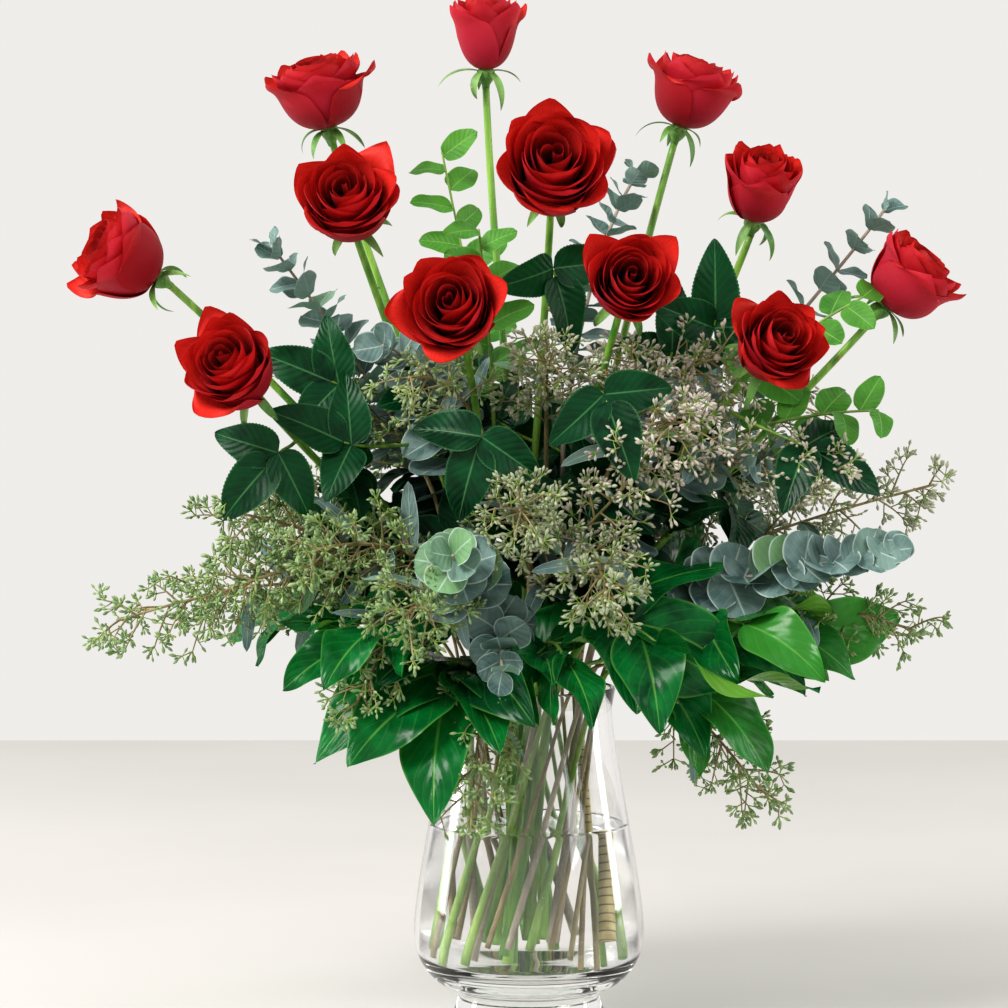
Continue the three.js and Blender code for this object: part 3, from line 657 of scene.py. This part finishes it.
def petal_points(share, radius, depth, open_, chance):
    """One petal of a bloom that faces +Z: share runs from 0 at the heart to 1 at the outermost."""
    s = np.linspace(0, 1, PETAL_ROWS)[:, None]
    u = np.linspace(-1, 1, PETAL_COLUMNS)[None, :]
    tip = np.abs(u - (chance[2] - 0.5) * 0.5)
    outer = smooth((share - 0.35) / 0.5)
    corner = 0.28 + 0.12 * chance[0]
    point = (0.015 + 0.09 * outer) * (0.5 + chance[1]) * np.exp(-tip / 0.16) * s**6
    reach = s * (1 - corner * np.abs(u) ** (4.2 - 1.6 * outer)) + point
    body = radius * (0.07 + (0.66 + 0.1 * open_) * share**0.75)
    lip = radius * (0.03 + 0.82 * share ** (1.1 - 0.3 * open_))
    sunk = 0.1 * open_ * smooth(1 - share / 0.35)
    top = depth * (1 - sunk - 0.02 * share - (0.06 + 0.14 * open_) * share**2)
    start = (radius * (0.03 + 0.1 * share), 0)
    knots = start, (body * 0.98, depth * 0.04), (body * 1.04, depth * 0.58), (lip, top)
    curve = on_curve(np.clip(reach, 0, 1.2)[..., None], *knots)
    r, z = curve[..., 0], curve[..., 1]
    # the rim rolls outwards, and an outer petal's two sides fold back and leave a point between them
    roll = radius * (0.03 + (0.15 + 0.12 * open_) * share**1.1) * (0.6 + 0.8 * chance[1])
    folded = np.clip(tip / 0.75, 0, 1) ** 1.1 * outer
    d = smooth((reach - 0.6) / 0.4)
    r = r + roll * d**1.3 * (1 - 1.1 * folded)
    z = z - roll * d**2.2 * (0.5 + 1.1 * folded)
    sides = np.clip((np.abs(u) - 0.45) / 0.55, 0, 1) ** 2 * s**1.5
    r = r + radius * 0.1 * share * sides * (0.4 + 1.2 * chance[2]) * (1 - outer)
    z = z - radius * 0.06 * share * sides
    wave = radius * 0.03 * (0.3 + share) * np.sin(u * 4.5 + 7 * chance[3]) * s**3
    r = r + wave + radius * (0.045 * (1 - share) + 0.025) * u * (1 - 0.3 * s)
    half = math.radians(158 - 86 * share**0.5)
    angle = u * half * (0.84 + 0.16 * np.sin(np.pi * s**0.8))
    return np.stack([r * np.cos(angle), r * np.sin(angle), z], axis=-1)


def add_bloom(number, base, mouth, spread):
    open_ = OPENNESS[number - 1]
    depth = np.linalg.norm(mouth - base) * DEPTH[number - 1]
    spread = spread * WIDTH[number - 1]
    facing = unit(mouth - base)
    side = unit(np.cross(facing, [0.2, 0.9, 0.1]))
    rows = np.stack([side, np.cross(facing, side), facing])
    sheets = Sheets()
    first_turn = uniform(0, 2 * math.pi)
    for k in range(PETALS):
        share = (k / (PETALS - 1)) ** 0.9
        chance = uniform(0, 1, 4)
        points = petal_points(share, spread / 2, depth, open_, chance)
        turn = first_turn + k * GOLDEN + normal(0, 0.2)
        cosine, sine = math.cos(turn), math.sin(turn)
        spin = np.array([[cosine, sine, 0], [-sine, cosine, 0], [0, 0, 1]])
        tip = (normal(0, 0.03, 2) * (0.3 + share)) @ np.eye(2, 3)
        local = points @ spin
        local = local + (local[..., 2:] / depth) ** 2 * tip * spread
        along = np.linspace(0, 1, points.shape[0])[:, None]
        sheets.add(base + local @ rows, "petal", (chance[0], along, share))
    sheets.place(f"rose_{number:02d}_petals", "rose_petal", f"rose_{number:02d}_bloom")


def stem_path(node, tip, heads, rise):
    """A stem as in the CAD: straight from its cut end to the neck, then one free curve to its tip."""
    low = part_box(node)[0][2] / MM + CUT_DEPTH
    cut = stem_middle(node, low, 60)
    neck = stem_middle(node, NECK_HEIGHT - 4, NECK_RADIUS - WALL)
    up = unit(neck - cut)
    run = END_RUN * np.linalg.norm(tip - [0, 0, NECK_HEIGHT])
    free = bezier(neck, neck + up * rise, tip - unit(heads) * run, tip, 40)
    cut = cut + up * (uniform(0, CUT_SPREAD) - CUT_DEPTH + 1)
    path = resampled(np.concatenate([np.linspace(cut, neck, 6)[:-1], free]), 60)
    whole = np.linalg.norm(np.diff(path, axis=0), axis=1).sum()
    return path, np.linalg.norm(neck - cut) / whole


def add_rose_stem(number, base, facing):
    """The stem with its thorns, the hip and the five sepals."""
    node = f"rose_{number:02d}_stem"
    hip_foot = base - facing * HIP_LENGTH
    leaning = unit(hip_foot - [0, 0, NECK_HEIGHT])
    path, below = stem_path(node, hip_foot, facing * 0.4 + leaning * 0.6, ROSE_RISE)
    radii = 2.6 - 0.4 * np.linspace(0, 1, len(path))
    sheets = Sheets()
    chance = uniform(0, 0.35)
    sheets.add_tube(path, radii, 10, "rose_stem", (chance, 0.3, 0), capped=True)
    sheets.add_tube(hip_foot + HIP[:, :1] * facing, HIP[:, 1], 14, "sepal", (chance, 0.2, 0), capped=True)
    add_sepals(sheets, base, facing)
    add_thorns(sheets, path)
    sheets.place(f"rose_{number:02d}_green_stem", "rose_stem", node)
    return path, below


def add_sepals(sheets, base, facing):
    side = unit(np.cross(facing, [0.2, 0.9, 0.1]))
    for k in range(SEPALS):
        out = turned(side, facing, 2 * math.pi * k / SEPALS + normal(0, 0.15))
        droop = uniform(-0.5, 0.5)
        root = base - facing * 1.5 + out * 3.6
        lead, face = unit(out - facing * droop), unit(facing + out * droop)
        sepal = leaf_points(root, lead, face, uniform(20, 30), 5.6, pointed_thin, rows=14, columns=5,
                            arch=uniform(0.6, 1.9), fold=0.3, twist=normal(0, 0.3))
        sheets.add(sepal, "sepal", (uniform(), 0.2, 0))


def add_thorns(sheets, path):
    for _ in range(THORNS):
        k = int(rng.integers(12, len(path) - 4))
        at, ahead = path[k], unit(path[k + 1] - path[k])
        out = turned(unit(np.cross(ahead, [0.3, 0.5, 0.2])), ahead, uniform(0, FULL_TURN))
        thorn = [at + out * 1.8, at + out * 3.6 - ahead * 0.5, at + out * 5.8 - ahead * 2.2]
        sheets.add_tube(thorn, [1.3, 0.75, 0.05], 6, "rose_stem", (0.9, 0.9, 0))


def pointed_thin(s):
    return np.sin(np.pi * (0.14 + 0.86 * s) ** 0.9) ** 0.9 + 0.02


def resampled(points, count):
    """A smooth line through some points, evenly spaced."""
    points = np.asarray(points, float)
    ends = np.concatenate([[2 * points[0] - points[1]], points, [2 * points[-1] - points[-2]]])
    t = np.linspace(0, 1, 12, endpoint=False)[:, None]
    fine = []
    for a, b, c, d in zip(ends, ends[1:], ends[2:], ends[3:]):
        square, cube = 2 * a - 5 * b + 4 * c - d, 3 * b - 3 * c + d - a
        fine.append(0.5 * (2 * b + (c - a) * t + square * t**2 + cube * t**3))
    fine = np.concatenate([*fine, points[-1:]])
    lengths = np.concatenate([[0], np.cumsum(np.linalg.norm(np.diff(fine, axis=0), axis=1))])
    wanted = np.linspace(0, lengths[-1], count)
    return np.stack([np.interp(wanted, lengths, fine[:, k]) for k in range(3)], axis=-1)


def compound_leaf(sheets, start, hub, leads, shows, length, width, pairs=1):
    """A rose's leaf: an end leaflet and one or two pairs, on a thin stalk."""
    leads, shows = unit(leads), unit(shows)
    bow = (start + hub) / 2 + np.array([0, 0, -3])
    stalk = bezier(start, bow, hub - leads * 6, hub + leads * 5, 12)
    sheets.add_tube(stalk, np.linspace(1.3, 0.8, 12), 6, "rose_stem", (0.3, 0.5, 0))
    places = [(0, hub + leads * 5, 1.0)]
    for pair in range(pairs):
        root = hub - leads * 14 * pair
        places += [(1, root, 0.9 - 0.1 * pair), (-1, root, 0.9 - 0.1 * pair)]
    for side, root, scale in places:
        lead = turned(leads, shows, side * LEAFLET_SPREAD + normal(0, 0.12))
        face = unit(shows + normal(0, 0.12, 3))
        blade = leaf_points(root, lead, face, length * scale, width * scale, heart, rows=45, columns=9,
                            arch=uniform(0.25, 0.75), fold=uniform(0.12, 0.35), wave=1.0, teeth=22,
                            phase=uniform(0, ANY_PHASE))
        sheets.add(blade, "rose_leaf", (uniform(), 0.5, 0))


# The places of the roses' compound leaves, as in the CAD: rose, hub, direction and face, in mm.
ROSE_LEAVES = [
    (2, (-113, -20, 386), (-0.9, -0.1, 0.35), (-0.2, -0.9, 0.4)),
    (3, (85, 0, 400), (0.1, 0, 1), (0.4, -0.8, 0.3)),
    (4, (108, -46, 420), (0.2, -0.2, 0.95), (0.1, -0.95, 0.2)),
    (5, (-104, -62, 352), (-0.85, -0.2, 0.3), (-0.1, -0.9, 0.4)),
    (6, (14, -50, 455), (0.2, -0.1, -0.97), (0.5, -0.85, 0)),
    (8, (-28, -112, 359), (-0.35, -0.1, -0.93), (0, -0.97, 0.25)),
    (9, (42, -108, 383), (0.35, -0.2, -0.9), (0.1, -0.97, 0.2)),
    (11, (-146, -76, 348), (-0.6, -0.1, -0.75), (0, -1, 0.2)),
    (12, (160, -76, 352), (0.8, -0.1, -0.5), (0.1, -0.8, 0.6)),
]


def add_roses():
    paths = {}
    for number in range(1, ROSES + 1):
        node = f"rose_{number:02d}_bloom"
        base, mouth = bloom_axis(node)
        cup = corners(node)
        facing = unit(mouth - base)
        off_axis = (cup - base) - ((cup - base) @ facing)[:, None] * facing
        spread = 2 * np.linalg.norm(off_axis, axis=1).max()
        base, mouth = base + BLOOM_LIFT, mouth + BLOOM_LIFT
        add_bloom(number, base, mouth, spread)
        paths[number] = add_rose_stem(number, base, facing)
    for number, hub, leads, shows in ROSE_LEAVES:
        sheets = Sheets()
        hub = np.array(hub, float)
        path = paths[number][0]
        start = path[np.argmin(np.linalg.norm(path - hub + [0, 0, 25], axis=1))]
        compound_leaf(sheets, start, hub, leads, shows, 48, 30)
        sheets.place(f"rose_{number:02d}_leaflets", "rose_leaf", f"rose_{number:02d}_leaf")
    return paths


# ---- greens

# The stem ends of the greens, as in the CAD: tip, direction there, and how far the stem keeps its slant.
GREENS = {
    "seeded_eucalyptus": [
        ((-245, -30, 246), (-0.95, 0, -0.3), 110), ((-170, -60, 312), (-0.9, -0.1, 0.2), 80),
        ((-100, -112, 205), (-0.4, -0.3, -0.85), 130), ((-33, -108, 146), (0, -0.2, -0.98), 80),
        ((168, 30, 376), (0.8, 0, 0.5), 120), ((242, -10, 326), (0.95, 0, 0.25), 90),
        ((228, -34, 241), (0.95, 0, -0.3), 80), ((136, -66, 148), (0.6, -0.1, -0.8), 80),
        ((62, -104, 340), (0.4, -0.6, 0.6), 100), ((-150, 92, 300), (-0.8, 0.5, 0.2), 90),
        ((130, 106, 330), (0.7, 0.6, 0.4), 100),
    ],
    "spiral_eucalyptus": [
        ((213, -74, 291), (0.97, 0, 0.2), 90), ((-155, 10, 469), (-0.6, 0, 0.8), 130),
        ((-44, -138, 293), (-0.1, -0.9, 0.4), 60), ((215, 20, 491), (0.6, 0, 0.8), 130),
        ((152, -64, 338), (0.8, -0.4, -0.2), 130),
    ],
    "light_sprig": [
        ((-53, 62, 526), (-0.2, 0, 0.98), 150),
    ],
    "lemon_leaf": [
        ((185, -42, 236), (0.95, -0.1, -0.3), 60), ((120, -96, 196), (0.7, -0.4, -0.6), 60),
        ((22, -118, 222), (0.1, -0.8, -0.6), 60), ((-62, -104, 176), (-0.3, -0.3, -0.9), 70),
        ((-128, -66, 226), (-0.8, -0.4, -0.4), 60), ((-96, 118, 262), (-0.6, 0.7, -0.2), 80),
        ((104, 112, 262), (0.6, 0.7, -0.2), 80), ((8, 134, 240), (0.1, 0.9, -0.4), 80),
    ],
}
LIGHT = unit((0, -0.6, 0.8))


def branch_path(start, tip, lift):
    """A side branch that leaves upwards and bends over to its tip."""
    start, tip = np.array(start, float), np.array(tip, float)
    lifted = np.array([0, 0, lift])
    return resampled(bezier(start, start + lifted, (start + tip) / 2 + lifted, tip, 20), 40)


def along_path(path, share):
    place = np.clip(share, 0, 1) * (len(path) - 1)
    k = min(int(place), len(path) - 2)
    at = path[k] + (path[k + 1] - path[k]) * (place - k)
    return at, unit(path[k + 1] - path[k])


def leaf_places(path, below, from_, to, count):
    """Where leaves grow, between two shares of a stem's part above the neck."""
    for k in range(count):
        share = below + (1 - below) * (from_ + (to - from_) * k / (count - 1))
        yield k, *along_path(path, min(share, 0.995))


def around(direction, angle):
    """A direction at right angles to another, turned round it by an angle from sideways to the light."""
    return turned(unit(np.cross(LIGHT, direction)), direction, angle)


# A seed's places along its length and its radius there.
SEED = np.array([(0, 0.2), (0.9, 0.5), (2.1, 1.0), (3.3, 1.05), (4.4, 0.6), (5.2, 0.05)])
SEED_SIDES = 6
TWIG_POINTS = 9
TWIG_TINT = (0.4, 0.6, 0)


def add_umbel(sheets, at, direction, count, pale, scale):
    """A little head of seeds on short stalks."""
    for _ in range(count):
        lead = unit(direction + normal(0, 0.7, 3))
        stalk = uniform(2, 4.5) * scale
        root = at + lead * stalk
        sheets.add_tube([at, root + lead * 0.5], 0.3 * scale, 4, "green_twig", (0.5, 0.5, 0))
        size = scale * uniform(0.7, 1.1)
        line = root + SEED[:, :1] * lead * size
        along = np.linspace(0, 1, len(SEED))[:, None]
        sheets.add_tube(line, SEED[:, 1] * size, SEED_SIDES, "seed", (uniform(), along, pale))


def seeded_foliage(sheets, path, below, pale, length=40, twigs=20, from_=0.4):
    """Side twigs that each carry heads of small seeds, and a few long thin leaves."""
    for k in range(twigs):
        share = below + (1 - below) * (from_ + (1 - from_) * (k + 0.6) / twigs)
        at, ahead = along_path(path, share)
        out = around(ahead, k * GOLDEN)
        lead = unit(ahead * uniform(0.55, 1.0) + out)
        reach = length * uniform(0.6, 1.1) * (1 - 0.45 * k / twigs)
        sag = np.array([0, 0, -0.12 * reach])
        ends = at + lead * reach * 0.7, at + lead * reach + sag
        twig = bezier(at, at + lead * reach * 0.35, *ends, TWIG_POINTS)
        sheets.add_tube(twig, np.linspace(0.75, 0.4, TWIG_POINTS), 5, "brown_twig", TWIG_TINT)
        for j in range(2, TWIG_POINTS, 2):
            head = unit(twig[min(j + 1, TWIG_POINTS - 1)] - twig[j - 1])
            offset = unit(head * 0.7 + around(head, uniform(0, FULL_TURN)))
            stalk_end = twig[j] + offset * uniform(4, 8)
            sheets.add_tube([twig[j], stalk_end], 0.38, 4, "brown_twig", TWIG_TINT)
            add_umbel(sheets, stalk_end, offset, int(rng.integers(4, 8)), pale, uniform(0.8, 1.05))
        add_umbel(sheets, twig[-1], lead, 6, pale, 0.95)
        if k % 4 == 1 and k < twigs / 2:
            size = uniform(30, 46)
            face = unit(LIGHT + normal(0, 0.3, 3))
            lead = unit(lead - 0.3 * ahead)
            blade = leaf_points(at, lead, face, size, size * 0.24, oval, rows=14, columns=5,
                                arch=uniform(0.3, 1.0), fold=0.1)
            sheets.add(blade, "spiral_leaf", (uniform(), 0.5, 0))


def spiral_foliage(sheets, path, below, size, pairs, from_=0.3, shown=0.0, young=0.0):
    """Round leaves in pairs; shown turns them to the front, and young is how green the last ones are."""
    front = np.array([0, -1, 0.25])
    for k, at, ahead in leaf_places(path, below, from_, 1, pairs):
        at = at + front * 3 * shown
        taper = 1 - 0.5 * (k / pairs) ** 1.8
        turn = 0.5 * math.sin(k * 1.25) if shown else k * 1.25
        for half in (0, math.pi):
            out = around(ahead, turn + half + normal(0, 0.2))
            splay = math.radians(78 - 36 * (k / pairs) ** 2) + normal(0, 0.12)
            lead = unit(ahead * math.cos(splay) + out * math.sin(splay) + normal(0, 0.06, 3))
            face = ahead * math.sin(splay) - out * math.cos(splay)
            face = unit(face * (1 - shown) + front * (shown + 0.25) + normal(0, 0.12, 3))
            across = size * taper * uniform(0.88, 1.12)
            root = at - lead * across * 0.3 * shown
            blade = leaf_points(root, lead, face, across, across * 1.08, rounded, rows=14,
                                arch=uniform(-0.4, 0.5), fold=0.02, cup=uniform(0.05, 0.25), wave=0.7,
                                phase=uniform(0, ANY_PHASE))
            green = young * k / pairs
            sheets.add(blade, "spiral_leaf", (green + (1 - green) * uniform(), 0.5, 0))


def sprig_foliage(sheets, path, below, leaves=14, from_=0.56):
    """Light oval leaves, on one side and the other by turns."""
    for k, at, ahead in leaf_places(path, below, from_, 1, leaves):
        out = around(ahead, (k % 2) * math.pi + normal(0, 0.35))
        lead = unit(ahead * 0.45 + out)
        face = unit(np.array([0, -0.8, 0.5]) + normal(0, 0.3, 3))
        length = uniform(30, 38) * (1 - 0.3 * k / leaves)
        blade = leaf_points(at, lead, face, length, length * 0.66, oval, arch=uniform(0.1, 0.7),
                            fold=0.15, wave=0.8, phase=uniform(0, ANY_PHASE))
        sheets.add(blade, "sprig_leaf", (uniform(), 0.5, 0))


def lemon_foliage(sheets, path, below, to, length=80, leaves=7, splay_to=0.95, fresh=0.0):
    """Broad glossy leaves, on one side and the other by turns; fresh is how light green some of them are."""
    for k, at, ahead in leaf_places(path, below, 0.35, to, leaves):
        last = k == leaves - 1
        out = around(ahead, (k % 2) * math.pi + normal(0, 0.25))
        splay = 0.15 if last else uniform(0.45, splay_to)
        lead = unit(ahead * math.cos(splay) + out * math.sin(splay))
        stalk = at + lead * 5
        sheets.add_tube([at, stalk], [1.0, 0.8], 6, "green_twig", (0.2, 0.4, 0))
        face = unit(LIGHT + normal(0, 0.35, 3))
        size = length * uniform(0.75, 1.08)
        width = size * uniform(0.52, 0.66)
        blade = leaf_points(stalk, lead, face, size, width, broad, rows=34, columns=13,
                            arch=uniform(0.2, 1.1), fold=uniform(0.0, 0.45), wave=3.0,
                            phase=uniform(0, ANY_PHASE), twist=normal(0, 0.6))
        sheets.add(blade, "lemon_leaf", (uniform(), 0.5, fresh * (k % 3) / 2))


FOLIAGE = {
    "seeded_eucalyptus": seeded_foliage,
    "spiral_eucalyptus": spiral_foliage,
    "light_sprig": sprig_foliage,
    "lemon_leaf": lemon_foliage,
}
# The stems' materials, and their radius at the foot and at the tip.
STEMS = {
    "seeded_eucalyptus": ("brown_twig", 1.6, 0.8),
    "spiral_eucalyptus": ("grey_twig", 2.1, 0.9),
    "light_sprig": ("green_twig", 1.6, 0.7),
    "lemon_leaf": ("green_twig", 2.6, 1.0),
}
THICK_STEMS = {"lemon_leaf_07": ("ringed_twig", 4.8, 1.2), "spiral_eucalyptus_04": ("grey_twig", 3.6, 1.0)}
# What each kind's leaves are usually like, and what is special about some of them.
USUAL = {
    "seeded_eucalyptus": {"pale": 0.0},
    "spiral_eucalyptus": {"size": 27, "pairs": 17},
    "light_sprig": {},
    "lemon_leaf": {"to": 0.82},
}
SPECIAL = {
    "seeded_eucalyptus_01": {"twigs": 30, "length": 42},
    "seeded_eucalyptus_05": {"pale": 0.75, "twigs": 30, "length": 50},
    "seeded_eucalyptus_06": {"pale": 0.45},
    "seeded_eucalyptus_09": {"pale": 0.6, "length": 46},
    "spiral_eucalyptus_01": {"size": 34, "pairs": 19, "shown": 0.75},
    "spiral_eucalyptus_02": {"size": 28, "pairs": 26, "from_": 0.25},
    "spiral_eucalyptus_03": {"size": 30, "pairs": 9, "from_": 0.7, "young": 0.95},
    "spiral_eucalyptus_05": {"size": 32, "pairs": 12, "young": 0.9},
    "lemon_leaf_01": {"length": 76, "leaves": 9, "splay_to": 0.7, "fresh": 0.7},
    "lemon_leaf_02": {"length": 68, "leaves": 8, "splay_to": 0.7, "fresh": 0.6},
    "lemon_leaf_03": {"length": 66},
    "lemon_leaf_04": {"length": 98, "to": 0.66},
    "lemon_leaf_05": {"length": 62, "to": 0.8},
}

# Side branches that fill the bouquet out: where each leaves, its tip, how far it rises, and its options.
BRANCHES = [
    ("seeded_eucalyptus", [
        ((-40, -30, 240), (-128, -112, 292), 40, {}),
        ((-20, -50, 240), (-72, -138, 258), 30, {}),
        ((-60, -30, 260), (-188, -60, 262), 30, {"twigs": 26}),
        ((0, -50, 260), (-6, -128, 318), 30, {"pale": 0.3}),
        ((30, -40, 270), (44, -130, 268), 30, {"pale": 0.3}),
        ((40, -30, 300), (88, -104, 366), 40, {"pale": 0.8, "length": 48}),
        ((50, -10, 310), (120, -60, 402), 50, {"pale": 0.7, "length": 48}),
        ((60, -20, 280), (178, -80, 336), 50, {"pale": 0.6}),
        ((60, 10, 290), (60, -40, 400), 60, {"pale": 0.7}),
        ((-50, 0, 280), (-120, 30, 372), 50, {}),
        ((-60, 20, 270), (-186, 70, 300), 50, {}),
        ((60, 30, 270), (182, 80, 320), 50, {"pale": 0.4}),
        ((0, 50, 270), (-30, 134, 320), 50, {}),
        ((20, 50, 270), (62, 130, 300), 50, {"pale": 0.3}),
    ]),
    ("lemon_leaf", [
        ((20, -40, 230), (82, -116, 232), 30, {"leaves": 5, "length": 72}),
        ((40, -20, 230), (140, -88, 246), 20, {"leaves": 6, "length": 66, "fresh": 0.6}),
        ((-30, -30, 230), (-104, -110, 240), 30, {"leaves": 5, "length": 56}),
    ]),
    ("light_sprig", [
        ((90, -10, 340), (196, -40, 438), 20, {"leaves": 9, "from_": 0.4}),
        ((90, -20, 330), (204, -60, 372), 20, {"leaves": 8, "from_": 0.4}),
        ((-20, 10, 320), (-30, -30, 478), 40, {"leaves": 9, "from_": 0.4}),
    ]),
    ("seeded_eucalyptus", [
        ((10, -20, 320), (10, -80, 402), 40, {"pale": 0.4}),
        ((-20, -20, 320), (-70, -90, 392), 40, {"pale": 0.1, "twigs": 14}),
    ]),
    ("lemon_leaf", [
        ((-40, 20, 230), (-160, 40, 246), 30, {"leaves": 6, "length": 72}),
        ((40, 20, 230), (166, 40, 250), 30, {"leaves": 6, "length": 72}),
    ]),
    ("spiral_eucalyptus", [
        ((20, 0, 330), (66, 40, 512), 60, {"size": 24, "pairs": 16}),
        ((-40, -10, 300), (-86, -60, 410), 50, {"size": 28, "pairs": 12}),
        ((-20, -50, 240), (-16, -130, 226), 20, {"size": 22, "pairs": 7}),
        ((10, 40, 280), (-90, 116, 380), 60, {"size": 26, "pairs": 14}),
        ((10, 40, 280), (110, 112, 392), 60, {"size": 26, "pairs": 14}),
    ]),
]


def up_to_last_leaf(path, below, options):
    share = below + (1 - below) * options.get("to", 1.0)
    return path[:round(share * (len(path) - 1)) + 1]


def add_green(kind, node, tip, heads, rise):
    sheets = Sheets()
    path, below = stem_path(node, np.array(tip, float), heads, rise)
    twig, thick, thin = THICK_STEMS.get(node, STEMS[kind])
    options = {**USUAL[kind], **SPECIAL.get(node, {})}
    stem = up_to_last_leaf(path, below, options)
    radii = thin + (thick - thin) * np.linspace(1, 0, len(path)) ** 1.6
    sheets.add_tube(stem, radii[:len(stem)], 10, twig, (uniform(0, 0.5), 0.4, 0), capped=True)
    FOLIAGE[kind](sheets, path, below, **options)
    sheets.place(f"{node}_spray", kind, node)


def add_greens():
    for kind, stems in GREENS.items():
        for number, (tip, heads, rise) in enumerate(stems, 1):
            add_green(kind, f"{kind}_{number:02d}", tip, heads, rise)


def add_branches():
    branches = [(kind, *branch) for kind, run in BRANCHES for branch in run]
    for number, (kind, start, tip, lift, options) in enumerate(branches, 1):
        sheets = Sheets()
        path = branch_path(start, tip, lift)
        twig, _, thin = STEMS[kind]
        options = {**USUAL[kind], **options}
        stem = up_to_last_leaf(path, 0, options)
        sheets.add_tube(stem, np.linspace(1.6, thin, len(stem)), 8, twig, (0.3, 0.4, 0), capped=True)
        FOLIAGE[kind](sheets, path, 0, **options)
        sheets.place(f"branch_{number:02d}_{kind}", kind)


# Where each rose's stem grows more leaves: the share of its free part, and the turn round it in degrees.
MORE_LEAVES = [(0.3, 40), (0.42, 170), (0.52, 290)]
LEAVES_FROM, LEAVES_TO = 250, 430  # the heights between which they grow


def add_more_leaves(paths):
    for number, (path, below) in paths.items():
        sheets = Sheets()
        for share, turn in MORE_LEAVES:
            at, ahead = along_path(path, below + (1 - below) * share)
            if not LEAVES_FROM < at[2] < LEAVES_TO:
                continue
            out = around(ahead, math.radians(turn + 67 * number))
            lead = unit(out + 0.35 * ahead)
            hub = at + lead * uniform(18, 32)
            shows = unit(np.array([0.15 * out[0], -0.7, 0.5]) + normal(0, 0.25, 3))
            compound_leaf(sheets, at, hub, unit(lead - [0, 0, 0.2]), shows, 44, 27, pairs=2)
        if sheets.count:
            sheets.place(f"rose_{number:02d}_more_leaflets", "rose_leaf")


# ---- stage

TABLE_SIDE, TABLE_BACK, TABLE_DROP = 6000, 1417, 0.2
ROOM = rgb(222, 220, 217)


def add_stage():
    sheets = Sheets()
    sides = (-TABLE_SIDE, TABLE_SIDE)
    grid = np.array([[(x, y, 0) for x in sides] for y in (TABLE_BACK, -TABLE_SIDE)], float)
    sheets.add(grid, "floor")
    floor = sheets.build("floor")
    floor.location.z = -TABLE_DROP * MM


def add_room():
    world = bpy.data.worlds.new("world")
    bpy.context.scene.world = world
    world.use_nodes = True
    background = world.node_tree.nodes["Background"]
    background.inputs["Color"].default_value = ROOM
    background.inputs["Strength"].default_value = 1.0
    bpy.context.scene.view_settings.view_transform = "Standard"
    bpy.context.scene.view_settings.look = "Medium High Contrast"
    bpy.context.scene.cycles.use_denoising = True


add_vase()
add_water()
rose_paths = add_roses()
add_greens()
add_branches()
add_more_leaves(rose_paths)
add_stage()
add_room()
add_lamps()
